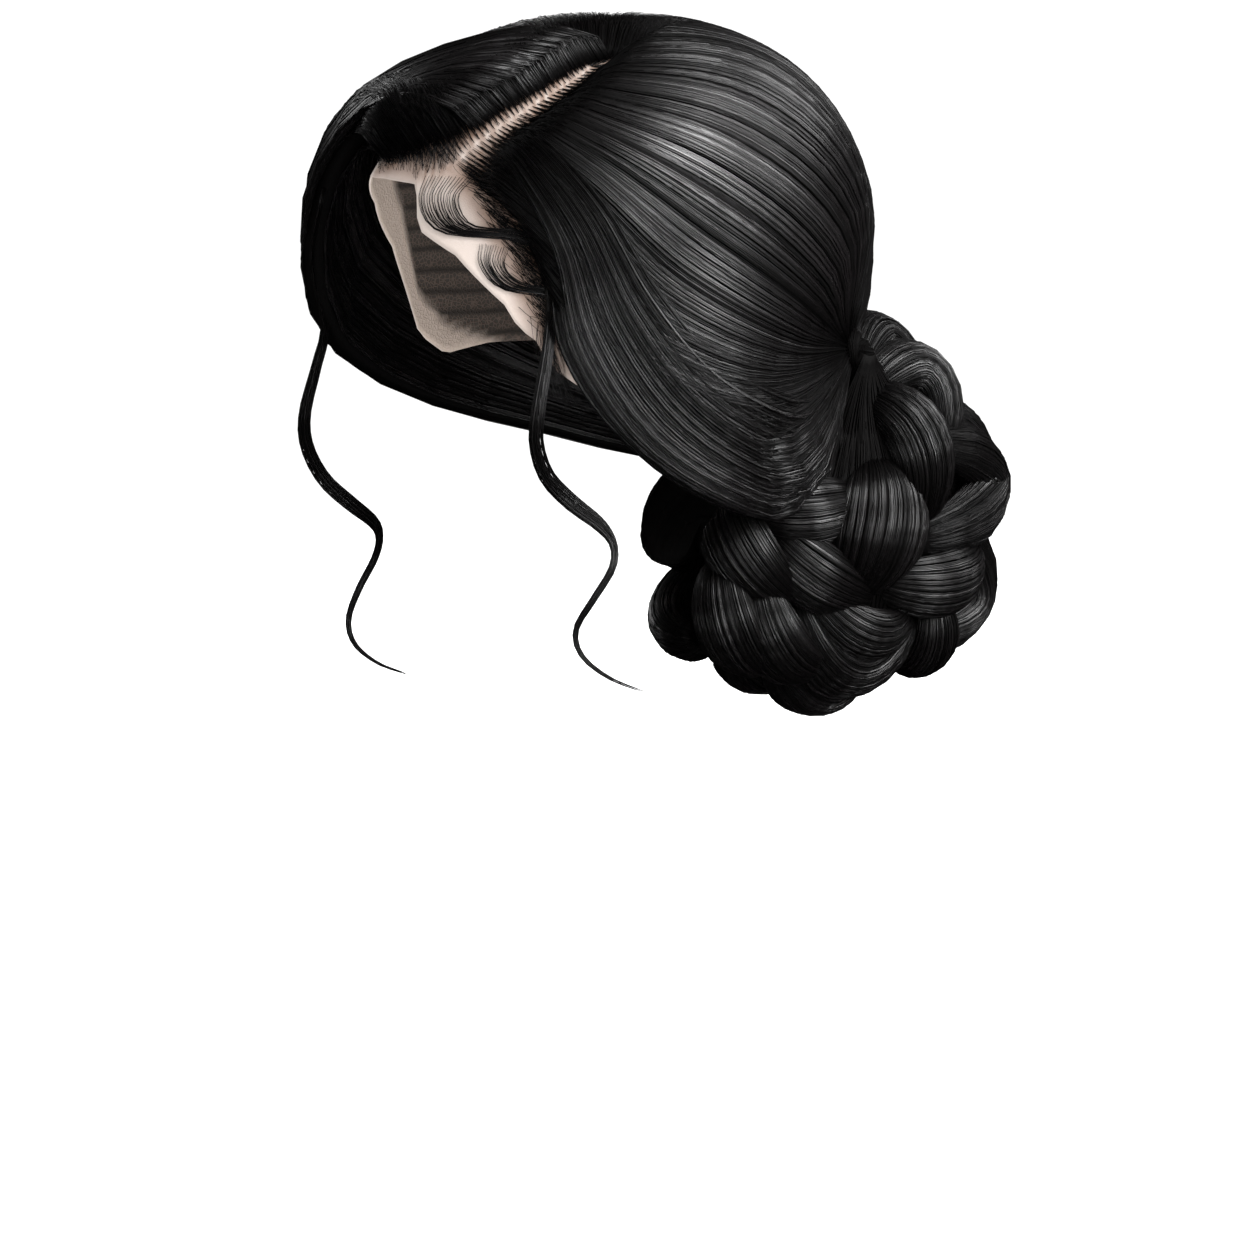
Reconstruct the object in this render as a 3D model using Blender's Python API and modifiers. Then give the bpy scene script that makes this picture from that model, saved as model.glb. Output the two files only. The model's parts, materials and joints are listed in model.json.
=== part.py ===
"""A side-parted lace-front wig whose hair is gathered into a low plaited chignon.

Metres, +Z up. -Y is the front, where the hair leaves the face free, and +X is the wearer's left.
The origin is the crown of the head, where the inside of the cap rests. Directions are given in
degrees from the centre of the head or of the chignon: the turn from the front towards +X, then
the rise above the level. Every length is a named size or a share of one.
"""
import math

import bmesh
import bpy
from mathutils import Vector

# The head that the cap fits
HEAD_HALF_WIDTH = 0.077
HEAD_HALF_LENGTH = 0.098
HEAD_CROWN = 0.105
HEAD_DEPTH = 0.125
HEAD_SQUARENESS = 2.3
NECK_RADIUS = 0.057
NECK_SETBACK = 0.015

# The lace cap
CAP_THICKNESS = 0.0012
CAP_SECTORS = 36
CAP_RINGS = 8

# Clearances between touching pieces
SEAT_GAP = 0.0008
CUT_GAP = 0.0004

# The hair over the cap: how far its surface stands above the head
SIDE_VOLUME = 0.015
END_VOLUME = 0.018
CROWN_VOLUME = 0.012
HAIR_SQUARENESS = 2.1
FRONT_FULLNESS = 2.0
BACK_FULLNESS = 2.6
ROOT_VOLUME = 0.0022
RISE_LENGTH = 0.020
SWOOP_STAND = 0.026
NAPE_VOLUME = 0.0055
TUCK_DEPTH = 0.007
EDGE_SHARE = 0.45
HOLLOW_SHARE = 0.8
NAPE_START = 108.0
NAPE_TOP = -12.0
HAIRLINE_INSET = 2.0
TRIM_DEPTH = 0.003
LEFT_GRID = (12, 14)
RIGHT_GRID = (16, 16)
NAPE_GRID = (14, 5)

# The band that gathers the hair, and the tail through it
GATHER = (150.0, -6.5)
TIE_RADIUS = 0.0055
TIE_THICKNESS = 0.0026

# The chignon
BUN_HALF_WIDTH = 0.062
BUN_HALF_LENGTH = 0.082
BUN_HALF_HEIGHT = 0.074
BUN_SETBACK = 0.080
BUN_OFFSET = 0.012
BUN_DROP = 0.080
BUN_SQUARENESS = 2.2
BUN_FULLNESS = 2.6
CORE_SHARE = 0.86
LOCK_FLATNESS = 0.70
LOCK_DIVE = 0.15
LOCK_TUCK = 0.12

# The face-framing tendrils. The left one's root is a direction on the hairline, and the right
# one's is its place across and down the panel that it hangs from.
TENDRIL_LENGTH = 0.145
TENDRIL_SWAY = 0.0356
TENDRIL_WIDTH = 0.008
TENDRIL_FLATNESS = 0.45
LEFT_ROOT = (59.0, 6.0)
RIGHT_ROOT = (1.0, 0.47)

# Edge of the lace cap, the same on both sides: turn from the front, rise
CAP_EDGE = (
    (0, 33.0), (20, 32.5), (35, 26.0), (48, 15.0), (54, 4.0), (58, -8.0), (66, -14.0),
    (80, -12.0), (100, -12.0), (112, -24.0), (125, -36.0), (150, -42.0), (180, -43.0),
)

# Combing of the hair, a row for each guide strand from its root to the band:
# root, three places on its way, its place on the band's dial, and its stand off the head at
# the second and third places as a share of SWOOP_STAND
LEFT_STRANDS = (
    ((120, 74.6), (160, 65.8), (168, 45), (167, 20), 8, 0.0, 0.0),
    ((72, 70.2), (112, 68), (151, 51), (158, 23), 26, 0.0, 0.0),
    ((56, 61), (86, 58), (125, 44), (147, 20), 46, 0.0, 0.0),
    ((45, 52.5), (75, 45), (104, 30), (131, 9), 66, 0.0, 0.0),
    ((37, 45), (64, 33), (87, 12), (116, -3), 86, 0.0, 0.05),
    ((32, 37.5), (60, 23), (80, 1), (108, -11), 106, 0.0, 0.1),
    ((45, 30), (65, 12), (84, -12), (114, -22), 126, 0.0, 0.15),
    ((53, 20), (68, -2), (90, -23), (123, -31), 148, 0.05, 0.3),
    ((58, 8), (72, -20), (101, -38), (137, -37), 172, 0.1, 0.4),
)
RIGHT_STRANDS = (
    ((124, 75.6), (164, 66.6), (169.8, 45.4), (168.8, 20), -8, 0.0, 0.0),
    ((98, 74), (-162, 60), (-166, 36), (-178, 10), -26, 0.0, 0.0),
    ((66, 72), (-100, 72), (-128, 40), (-154, 8), -44, 0.0, 0.0),
    ((50, 61.5), (-52, 70), (-100, 37), (-138, 2), -62, 0.0, 0.0),
    ((38, 52), (-28, 61), (-80, 28), (-124, -5), -82, 0.1, 0.0),
    ((28, 42.5), (-12, 53), (-62, 20), (-112, -13), -105, 0.5, 0.05),
    ((14, 38), (-14, 45), (-52, 8), (-104, -24), -138, 0.85, 0.15),
    ((0, 36), (-22, 36), (-50, -8), (-106, -35), -171, 1.0, 0.2),
)

# Locks of the chignon, the topmost first: name, where each starts, crests and ends, its width
# as a share of BUN_HALF_HEIGHT, and its reach as a share of the chignon's own surface
LOCKS = (
    ("lock_centre", (112, 24), (107, 0), (102, -26), 0.60, 1.06),
    ("lock_from_band", (120, 52), (127, 29), (131, 2), 0.42, 1.03),
    ("lock_left_middle", (58, -2), (75, -17), (102, -30), 0.36, 1.03),
    ("lock_left_outer", (43, 12), (50, -5), (64, -24), 0.36, 1.10),
    ("lock_right_lower", (112, -24), (137, -21), (164, -13), 0.36, 1.04),
    ("lock_left_upper", (50, 10), (72, 8), (96, 12), 0.36, 1.01),
    ("lock_band_over", (116, 63), (158, 66), (162, 48), 0.34, 1.10),
    ("lock_under_middle", (76, -28), (101, -41), (128, -36), 0.32, 1.02),
    ("lock_band_behind", (122, 56), (150, 49), (147, 26), 0.36, 1.05),
    ("lock_under_long", (68, -32), (98, -56), (132, -40), 0.38, 1.05),
    ("lock_right_upper", (138, 27), (160, 8), (130, -6), 0.38, 1.08),
    ("lock_neck_lower", (53, -18), (60, -37), (81, -56), 0.36, 1.09),
    ("lock_right_tail", (158, -6), (168, -26), (148, -44), 0.36, 1.07),
    ("lock_under_right", (156, -52), (144, -42), (139, -28), 0.32, 1.05),
    ("lock_neck_edge", (42, -12), (46, -29), (53, -48), 0.34, 1.12),
    ("lock_under_edge", (60, -54), (95, -71), (126, -62), 0.34, 1.07),
    ("lock_back_top", (174, 62), (-162, 56), (-142, 42), 0.44, 1.05),
    ("lock_far_top", (-144, 62), (-116, 54), (-92, 42), 0.44, 1.03),
    ("lock_back_centre", (168, 34), (-180, 12), (-172, -10), 0.48, 1.06),
    ("lock_back_right", (-160, 40), (-147, 18), (-141, -6), 0.48, 1.06),
    ("lock_far_high", (-126, 38), (-115, 16), (-111, -8), 0.48, 1.05),
    ("lock_far_upper", (-98, 32), (-87, 8), (-85, -16), 0.46, 1.04),
    ("lock_far_neck", (-74, 26), (-62, 2), (-60, -22), 0.44, 1.08),
    ("lock_back_low", (172, -14), (-172, -34), (-148, -44), 0.46, 1.06),
    ("lock_far_low", (-150, -12), (-130, -30), (-106, -40), 0.46, 1.05),
    ("lock_far_lower", (-112, -14), (-94, -32), (-70, -38), 0.44, 1.05),
    ("lock_far_under", (-76, -28), (-60, -42), (-46, -54), 0.42, 1.07),
    ("lock_back_under", (170, -56), (-152, -66), (-112, -68), 0.44, 1.05),
    ("lock_far_edge", (-112, -58), (-84, -66), (-54, -66), 0.42, 1.06),
)

# A tendril from its root to its tip: drop as a share of its length, sway towards the back and
# lean away from the face as shares of TENDRIL_SWAY, width as a share of TENDRIL_WIDTH
TENDRIL = (
    (0.00, 0.00, 0.00, 0.62), (0.12, -0.08, 0.08, 0.70), (0.25, -0.20, 0.14, 0.82),
    (0.34, -0.20, 0.08, 0.90), (0.43, -0.04, -0.02, 0.98), (0.50, 0.25, -0.06, 1.00),
    (0.56, 0.55, 0.02, 0.80), (0.61, 0.66, 0.12, 0.48), (0.67, 0.62, 0.18, 0.42),
    (0.75, 0.42, 0.14, 0.40), (0.83, 0.26, 0.04, 0.36), (0.90, 0.33, 0.04, 0.30),
    (0.96, 0.62, 0.10, 0.22), (1.00, 1.00, 0.16, 0.12),
)

COLLECTION = "chignon_wig"
HAIR = (0.012, 0.010, 0.010)
LACE = (0.72, 0.60, 0.50)
BAND = (0.02, 0.02, 0.02)

HEAD_CENTRE = Vector((0.0, 0.0, -HEAD_CROWN))
BUN_CENTRE = HEAD_CENTRE + Vector((BUN_OFFSET, BUN_SETBACK, -BUN_DROP))


def direction(turn, rise):
    """The unit vector at a turn from the front towards +X and a rise, both in degrees."""
    level = math.cos(math.radians(rise))
    return Vector((math.sin(math.radians(turn)) * level, -math.cos(math.radians(turn)) * level,
                   math.sin(math.radians(rise))))


def turn_and_rise(unit):
    return math.degrees(math.atan2(unit.x, -unit.y)), math.degrees(math.asin(unit.z))


def smooth(share):
    share = min(1.0, max(0.0, share))
    return share * share * (3.0 - 2.0 * share)


def through(values, share):
    """The smooth curve through evenly spaced values, floats or vectors, at a share of its run."""
    last = len(values) - 1
    place = min(max(share, 0.0), 1.0) * last
    i = min(int(place), last - 1)
    t = place - i
    before = values[i - 1] if i > 0 else values[i] * 2.0 - values[i + 1]
    after = values[i + 2] if i + 2 <= last else values[i + 1] * 2.0 - values[i]
    a = (values[i + 1] - before) * 0.5
    b = (after - values[i]) * 0.5
    rest = values[i + 1] - values[i]
    return values[i] + a * t + (rest * 3.0 - a * 2.0 - b) * t ** 2 + (a + b - rest * 2.0) * t ** 3


def along(table, key, column):
    """A table's column at a key, by straight lines between its rows."""
    for low, high in zip(table, table[1:]):
        if key <= high[0]:
            share = (key - low[0]) / (high[0] - low[0])
            return low[column] + (high[column] - low[column]) * share
    return table[-1][column]


def egg_radius(unit, half_width, half_length, height, squareness, fullness):
    """The distance to an egg's surface: squareness rounds its plan and fullness its profile."""
    plan = (abs(unit.x) / half_width) ** squareness + (abs(unit.y) / half_length) ** squareness
    return (plan ** (fullness / squareness) + (abs(unit.z) / height) ** fullness) ** (-1.0 / fullness)


def head_radius(unit):
    height = HEAD_CROWN if unit.z > 0.0 else HEAD_DEPTH
    return egg_radius(unit, HEAD_HALF_WIDTH, HEAD_HALF_LENGTH, height, HEAD_SQUARENESS, 2.0)


def hair_radius(unit):
    """The surface of the dressed hair, fuller behind the crown than over the forehead."""
    turn, _ = turn_and_rise(unit)
    fullness = FRONT_FULLNESS + (BACK_FULLNESS - FRONT_FULLNESS) * smooth((abs(turn) - 60.0) / 70.0)
    return egg_radius(unit, HEAD_HALF_WIDTH + SIDE_VOLUME, HEAD_HALF_LENGTH + END_VOLUME,
                      HEAD_CROWN + CROWN_VOLUME, HAIR_SQUARENESS, fullness)


def bun_radius(unit):
    return egg_radius(unit, BUN_HALF_WIDTH, BUN_HALF_LENGTH, BUN_HALF_HEIGHT, BUN_SQUARENESS,
                      BUN_FULLNESS)


def under_radius(unit):
    """Where the hair's underside lies on the cap."""
    return head_radius(unit) + CAP_THICKNESS + SEAT_GAP


def gather_radius():
    return hair_radius(direction(*GATHER)) - TUCK_DEPTH


def dial(angle):
    """A direction on the ring where the hair meets the band: 0 above it, 90 towards the face."""
    middle = direction(*GATHER)
    up = (Vector((0, 0, 1)) - middle * middle.z).normalized()
    face = middle.cross(up)
    ring = (TIE_RADIUS + TIE_THICKNESS / 2.0 + CUT_GAP) / gather_radius()
    angle = math.radians(angle)
    return (middle + (up * math.cos(angle) + face * math.sin(angle)) * ring).normalized()


class Combing:
    """A panel of hair, laid over the cap along its guide strands."""

    def __init__(self, strands):
        self.routes = [[direction(*place) for place in row[:4]] + [dial(row[4])] for row in strands]
        self.stands = [[0.0, row[5] * 0.4, row[5], row[6], 0.0] for row in strands]

    def at(self, across, down):
        unit = through([through(route, down) for route in self.routes], across).normalized()
        root = through([route[0] for route in self.routes], across).normalized()
        stand = through([through(row, down) for row in self.stands], across) * SWOOP_STAND
        return unit, root, max(0.0, stand)

    def outer(self, across, down, grow=0.0):
        unit, root, stand = self.at(across, down)
        under = under_radius(unit)
        rise = smooth(unit.angle(root) * under / RISE_LENGTH)
        full = hair_radius(unit) - under - TUCK_DEPTH * smooth((down - 0.72) / 0.28)
        free_edge = smooth((1.0 - across) * len(self.routes) / 1.6)
        full *= EDGE_SHARE + (1.0 - EDGE_SHARE) * free_edge
        return HEAD_CENTRE + unit * (under + ROOT_VOLUME + (full - ROOT_VOLUME) * rise + stand + grow)

    def inner(self, across, down):
        unit, _, stand = self.at(across, down)
        trim = TRIM_DEPTH * (1.0 - smooth(stand / TRIM_DEPTH))
        return HEAD_CENTRE + unit * (under_radius(unit) - trim + stand * HOLLOW_SHARE)


class Nape:
    """The short hair combed up from the nape, under the gathered hair."""

    def unit(self, across, down):
        turn = NAPE_START + (360.0 - NAPE_START * 2.0) * across
        root = along(CAP_EDGE, min(turn, 360.0 - turn), 1) + HAIRLINE_INSET
        return direction(turn, root + (NAPE_TOP - root) * down)

    def outer(self, across, down, grow=0.0):
        unit = self.unit(across, down)
        rise = smooth(down * 3.0)
        lift = ROOT_VOLUME + (NAPE_VOLUME - ROOT_VOLUME) * rise
        return HEAD_CENTRE + unit * (under_radius(unit) + lift + grow)

    def inner(self, across, down):
        unit = self.unit(across, down)
        return HEAD_CENTRE + unit * (under_radius(unit) - TRIM_DEPTH)


def material(name, colour, roughness):
    made = bpy.data.materials.new(name)
    made.use_nodes = True
    shader = made.node_tree.nodes["Principled BSDF"]
    shader.inputs["Base Color"].default_value = (*colour, 1.0)
    shader.inputs["Roughness"].default_value = roughness
    return made


def new_object(name, bm, collection):
    """An object from a bmesh, its faces pointing out, with the same diagonals in like grids."""
    bmesh.ops.triangulate(bm, faces=bm.faces, quad_method="FIXED")
    bmesh.ops.recalc_face_normals(bm, faces=bm.faces)
    if bm.calc_volume(signed=True) < 0.0:
        bmesh.ops.reverse_faces(bm, faces=bm.faces)
    mesh = bpy.data.meshes.new(name)
    bm.to_mesh(mesh)
    bm.free()
    made = bpy.data.objects.new(name, mesh)
    collection.objects.link(made)
    return made


def shell(name, outer, inner, grid, collection):
    """A grid laid out as a panel's outer face and thickened down to its inner face."""
    bm = bmesh.new()
    bmesh.ops.create_grid(bm, x_segments=grid[0], y_segments=grid[1], size=1.0)
    grown = bmesh.ops.extrude_face_region(bm, geom=bm.faces[:], use_keep_orig=True)
    inside = {part for part in grown["geom"] if isinstance(part, bmesh.types.BMVert)}
    for vert in bm.verts:
        place = inner if vert in inside else outer
        vert.co = place((vert.co.x + 1.0) / 2.0, (vert.co.y + 1.0) / 2.0)
    return new_object(name, bm, collection)


def egg(name, centre, radius_of, sectors, rings, collection):
    """A sphere pushed out to a form's radius in each direction."""
    bm = bmesh.new()
    bmesh.ops.create_uvsphere(bm, u_segments=sectors, v_segments=rings, radius=1.0)
    for vert in bm.verts:
        unit = vert.co.normalized()
        vert.co = centre + unit * radius_of(unit)
    return new_object(name, bm, collection)


def strand_body(name, point_at, section_at, sectors, rings, collection):
    """A sphere drawn out along a path: its rings become sections, its poles the two ends.

    point_at(share) gives the path and section_at(share) the half width, the half thickness and
    the outward direction there.
    """
    bm = bmesh.new()
    bmesh.ops.create_uvsphere(bm, u_segments=sectors, v_segments=rings, radius=1.0)
    for vert in bm.verts:
        share = math.acos(min(1.0, max(-1.0, vert.co.z))) / math.pi
        around = math.atan2(vert.co.y, vert.co.x)
        belly = math.hypot(vert.co.x, vert.co.y) ** 0.5
        half_width, half_thickness, out = section_at(share)
        run = point_at(min(1.0, share + 0.02)) - point_at(max(0.0, share - 0.02))
        side = run.cross(out).normalized()
        face = side.cross(run).normalized()
        vert.co = (point_at(share) + side * math.cos(around) * half_width * belly
                   + face * math.sin(around) * half_thickness * belly)
    return new_object(name, bm, collection)


def largest_island(obj):
    """Drops the crumbs that cutting leaves beside the piece."""
    bm = bmesh.new()
    bm.from_mesh(obj.data)
    waiting = set(bm.verts)
    islands = []
    while waiting:
        front = [waiting.pop()]
        island = list(front)
        while front:
            for edge in front.pop().link_edges:
                for vert in edge.verts:
                    if vert in waiting:
                        waiting.discard(vert)
                        front.append(vert)
                        island.append(vert)
        islands.append(island)
    islands.sort(key=len)
    bmesh.ops.delete(bm, geom=[v for island in islands[:-1] for v in island], context="VERTS")
    bmesh.ops.triangulate(bm, faces=bm.faces)
    bm.to_mesh(obj.data)
    bm.free()


def box_of(obj):
    corners = [vert.co for vert in obj.data.vertices]
    return [(min(c[i] for c in corners), max(c[i] for c in corners)) for i in range(3)]


def boxes_meet(first, second):
    pairs = zip(box_of(first), box_of(second))
    return all(a[0] < b[1] and b[0] < a[1] for a, b in pairs)


def combine(obj, others, operation):
    """Cuts others from an object one by one, or joins them to it, and keeps the result."""
    for other in others:
        if boxes_meet(obj, other):
            step = obj.modifiers.new(other.name, "BOOLEAN")
            step.operation = operation
            step.solver = "MANIFOLD"
            step.object = other
            evaluated = obj.evaluated_get(bpy.context.evaluated_depsgraph_get())
            result = bpy.data.meshes.new_from_object(evaluated)
            obj.modifiers.clear()
            obj.data = result
            largest_island(obj)


def lace_cap(collection):
    """The cap: the upper half of a sphere drawn down to the cap's edge, then given its wall."""
    bm = bmesh.new()
    bmesh.ops.create_uvsphere(bm, u_segments=CAP_SECTORS, v_segments=CAP_RINGS * 2, radius=1.0)
    low = [vert for vert in bm.verts if vert.co.z < -0.01]
    bmesh.ops.delete(bm, geom=low, context="VERTS")
    for vert in bm.verts:
        turn, rise = turn_and_rise(vert.co.normalized())
        edge = along(CAP_EDGE, abs(turn), 1)
        unit = direction(turn, 90.0 - (90.0 - rise) / 90.0 * (90.0 - edge))
        vert.co = HEAD_CENTRE + unit * head_radius(unit)
    cap = new_object("lace_cap", bm, collection)
    wall = cap.modifiers.new("wall", "SOLIDIFY")
    wall.thickness = CAP_THICKNESS
    wall.offset = 1.0
    return cap


def hair_band(name, collection, grow=0.0):
    middle = direction(*GATHER)
    bpy.ops.mesh.primitive_torus_add(major_radius=TIE_RADIUS, minor_radius=TIE_THICKNESS / 2.0 + grow,
                                     major_segments=18, minor_segments=8)
    made = bpy.context.object
    made.name = name
    turn = middle.to_track_quat("Z", "Y").to_matrix().to_4x4()
    made.data.transform(turn)
    for vert in made.data.vertices:
        vert.co += HEAD_CENTRE + middle * gather_radius()
    for owner in list(made.users_collection):
        owner.objects.unlink(made)
    collection.objects.link(made)
    return made


def tail(name, collection, grow=0.0):
    """The gathered hair: out through the band, then down into the chignon."""
    middle = direction(*GATHER)
    at_band = HEAD_CENTRE + middle * gather_radius()
    inside = at_band - middle * TIE_RADIUS * 0.9
    outside = at_band + middle * TIE_RADIUS * 0.9
    places = [inside, at_band, outside, outside.lerp(BUN_CENTRE, 0.25), outside.lerp(BUN_CENTRE, 0.5)]
    half = TIE_RADIUS - TIE_THICKNESS / 2.0 - CUT_GAP + grow
    across = middle.cross(Vector((0, 0, 1))).normalized().cross(middle)
    return strand_body(name, lambda share: through(places, share), lambda share: (half, half, across),
                       10, 14, collection)


def lock(name, places, width, reach, collection, grow=0.0):
    """One lock of the plait: it crests over the chignon and dives under its neighbours."""
    start, crest, end = (direction(*place) for place in places)
    half_width = width * BUN_HALF_HEIGHT / 2.0
    half_thickness = half_width * LOCK_FLATNESS

    def unit_at(share):
        t = share * (1.0 + 2.0 * LOCK_TUCK) - LOCK_TUCK
        bend = (start + end) * 2.0 - crest * 4.0
        slope = crest * 4.0 - start * 3.0 - end
        return (start + slope * t + bend * t * t).normalized()

    def point_at(share):
        unit = unit_at(share)
        depth = LOCK_DIVE * (2.0 * share - 1.0) ** 2
        return BUN_CENTRE + unit * (bun_radius(unit) * (reach - depth) - half_thickness)

    def section_at(share):
        return half_width + grow, half_thickness + grow, unit_at(share)

    return strand_body(name, point_at, section_at, 8, 7, collection)


def tendril(name, top, mirror, collection):
    """A loose lock that hangs in front of the ear and waves back towards its tip."""
    places = [top + Vector((mirror * lean * TENDRIL_SWAY, sway * TENDRIL_SWAY, -drop * TENDRIL_LENGTH))
              for drop, sway, lean, _ in TENDRIL]
    widths = [row[3] * TENDRIL_WIDTH / 2.0 for row in TENDRIL]

    def section_at(share):
        half = through(widths, share)
        return half, half * TENDRIL_FLATNESS, Vector((mirror, 0.0, 0.0))

    return strand_body(name, lambda share: through(places, share), section_at, 6, 28, collection)


def neck_clearance(collection):
    """The space that the head and neck need under the chignon."""
    bpy.ops.mesh.primitive_cylinder_add(vertices=32, radius=NECK_RADIUS + CUT_GAP, depth=HEAD_DEPTH * 3.0)
    made = bpy.context.object
    made.name = "neck_clearance"
    made.data.transform(made.matrix_world)
    for vert in made.data.vertices:
        vert.co += HEAD_CENTRE + Vector((0.0, NECK_SETBACK, -HEAD_DEPTH * 1.5))
    for owner in list(made.users_collection):
        owner.objects.unlink(made)
    collection.objects.link(made)
    return made


def mass(name, panel, grid, collection):
    """A panel's own space with all that lies under it, grown by the gap: it cuts its neighbours."""
    return shell(name, lambda s, t: panel.outer(s, t, CUT_GAP),
                 lambda s, t: HEAD_CENTRE.lerp(panel.inner(s, t), 0.5), grid, collection)


def build():
    for obj in list(bpy.data.objects):
        bpy.data.objects.remove(obj, do_unlink=True)
    parts = bpy.data.collections.new(COLLECTION)
    cutters = bpy.data.collections.new("cutters")
    bpy.context.scene.collection.children.link(parts)
    bpy.context.scene.collection.children.link(cutters)

    left = Combing(LEFT_STRANDS)
    right = Combing(RIGHT_STRANDS)
    nape = Nape()
    masses = [mass("left_mass", left, LEFT_GRID, cutters),
              mass("right_mass", right, RIGHT_GRID, cutters)]
    head_space = egg("head_space", HEAD_CENTRE, lambda unit: under_radius(unit) + SEAT_GAP, 24, 16, cutters)
    keep_out = [head_space, neck_clearance(cutters)]

    cap = lace_cap(parts)
    left_hair = shell("left_hair_panel", left.outer, left.inner, LEFT_GRID, parts)
    right_hair = shell("right_hair_panel", right.outer, right.inner, RIGHT_GRID, parts)
    nape_hair = shell("nape_hair_panel", nape.outer, nape.inner, NAPE_GRID, parts)
    cap_space = egg("cap_space", HEAD_CENTRE, under_radius, CAP_SECTORS, 18, cutters)
    for panel in (left_hair, right_hair, nape_hair):
        combine(panel, [cap_space], "DIFFERENCE")
    combine(right_hair, masses[:1], "DIFFERENCE")
    combine(nape_hair, masses, "DIFFERENCE")
    masses.append(mass("nape_mass", nape, NAPE_GRID, cutters))

    band = hair_band("hair_tie", parts)
    band_space = hair_band("band_space", cutters, CUT_GAP)
    core = egg("chignon_core", BUN_CENTRE, lambda unit: bun_radius(unit) * CORE_SHARE, 16, 10, parts)
    combine(core, [tail("tail", cutters)], "UNION")
    combine(core, masses + keep_out + [band_space], "DIFFERENCE")

    core_space = egg("core_space", BUN_CENTRE, lambda unit: bun_radius(unit) * CORE_SHARE + CUT_GAP,
                     16, 10, cutters)
    tail_space = tail("tail_space", cutters, CUT_GAP)
    taken = masses + keep_out + [band_space, core_space, tail_space]
    locks = []
    for name, start, crest, end, width, reach in LOCKS:
        body = lock(name, (start, crest, end), width, reach, parts)
        combine(body, taken, "DIFFERENCE")
        locks.append(body)
        taken.append(lock(name + "_space", (start, crest, end), width, reach, cutters, CUT_GAP))

    hairline = direction(*LEFT_ROOT)
    left_top = HEAD_CENTRE + hairline * (under_radius(hairline) + TENDRIL_WIDTH * TENDRIL_FLATNESS)
    right_top = right.outer(*RIGHT_ROOT).lerp(right.inner(*RIGHT_ROOT), 0.5)
    tendrils = [tendril("left_tendril", left_top, 1.0, parts),
                tendril("right_tendril", right_top, -1.0, parts)]
    for body in tendrils:
        combine(body, masses[:2] + [head_space], "DIFFERENCE")

    for obj in cutters.objects:
        obj.hide_render = True
        obj.display_type = "WIRE"
    hair = [left_hair, right_hair, nape_hair, core, *locks, *tendrils]
    for obj in hair:
        obj.data.materials.append(material(obj.name + "_hair", HAIR, 0.38))
        obj.data.shade_smooth()
    cap.data.materials.append(material("lace", LACE, 0.8))
    band.data.materials.append(material("elastic", BAND, 0.7))
    wig = bpy.data.objects.new("wig", None)
    parts.objects.link(wig)
    for obj in [cap, band, *hair]:
        obj.parent = wig


if __name__ == "__main__":
    build()
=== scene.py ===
"""The looks of a side-parted lace-front wig with a low plaited chignon, laid out as an add-on.

Metres, +Z up. -Y is the front, where the hair leaves the face free, and +X is the wearer's left.
The origin is the crown of the head, where the inside of the cap rests. Directions are given in
degrees from the centre of the head or of the chignon: the turn from the front towards +X, then
the rise above the level.
"""
import json
import math

import bpy
import numpy as np
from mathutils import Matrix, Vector
from mathutils.bvhtree import BVHTree


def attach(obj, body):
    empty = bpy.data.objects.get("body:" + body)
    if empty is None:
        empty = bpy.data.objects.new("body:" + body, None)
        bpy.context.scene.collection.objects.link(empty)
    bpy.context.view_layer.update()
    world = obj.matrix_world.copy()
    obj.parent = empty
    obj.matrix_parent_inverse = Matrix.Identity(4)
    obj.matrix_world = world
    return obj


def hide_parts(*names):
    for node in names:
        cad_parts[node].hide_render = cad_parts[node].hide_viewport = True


bl_info = {
    "name": "Chignon Wig",
    "version": (1, 0, 0),
    "blender": (4, 5, 0),
    "location": "View3D > Sidebar > Wig",
    "description": "Dresses a side-parted wig: lace cap, combed panels, plaited chignon, tendrils",
    "category": "Object",
}

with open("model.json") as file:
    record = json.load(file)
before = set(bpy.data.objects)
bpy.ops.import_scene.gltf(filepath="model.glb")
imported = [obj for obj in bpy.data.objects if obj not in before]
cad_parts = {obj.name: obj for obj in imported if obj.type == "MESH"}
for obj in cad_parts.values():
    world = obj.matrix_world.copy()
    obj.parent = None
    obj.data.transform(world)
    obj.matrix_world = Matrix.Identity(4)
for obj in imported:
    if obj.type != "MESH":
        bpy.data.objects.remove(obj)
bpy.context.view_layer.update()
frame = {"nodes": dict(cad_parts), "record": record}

# The head that the cap fits
HEAD_HALF_WIDTH = 0.077
HEAD_HALF_LENGTH = 0.098
HEAD_CROWN = 0.105
HEAD_DEPTH = 0.125
HEAD_SQUARENESS = 2.3

# The lace cap and the gap between it and the hair
CAP_THICKNESS = 0.0012
SEAT_GAP = 0.0008

# The hair over the cap: how far its surface stands above the head
SIDE_VOLUME = 0.015
END_VOLUME = 0.018
CROWN_VOLUME = 0.012
HAIR_SQUARENESS = 2.1
FRONT_FULLNESS = 2.0
BACK_FULLNESS = 2.6
ROOT_VOLUME = 0.0022
RISE_LENGTH = 0.020
SWOOP_STAND = 0.026
NAPE_VOLUME = 0.0055
TUCK_DEPTH = 0.007
EDGE_SHARE = 0.45
HOLLOW_SHARE = 0.8
NAPE_START = 108.0
NAPE_TOP = -12.0
HAIRLINE_INSET = 2.0

# The band that gathers the hair
GATHER = (150.0, -6.5)
TIE_RADIUS = 0.0055
TIE_THICKNESS = 0.0026

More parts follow.
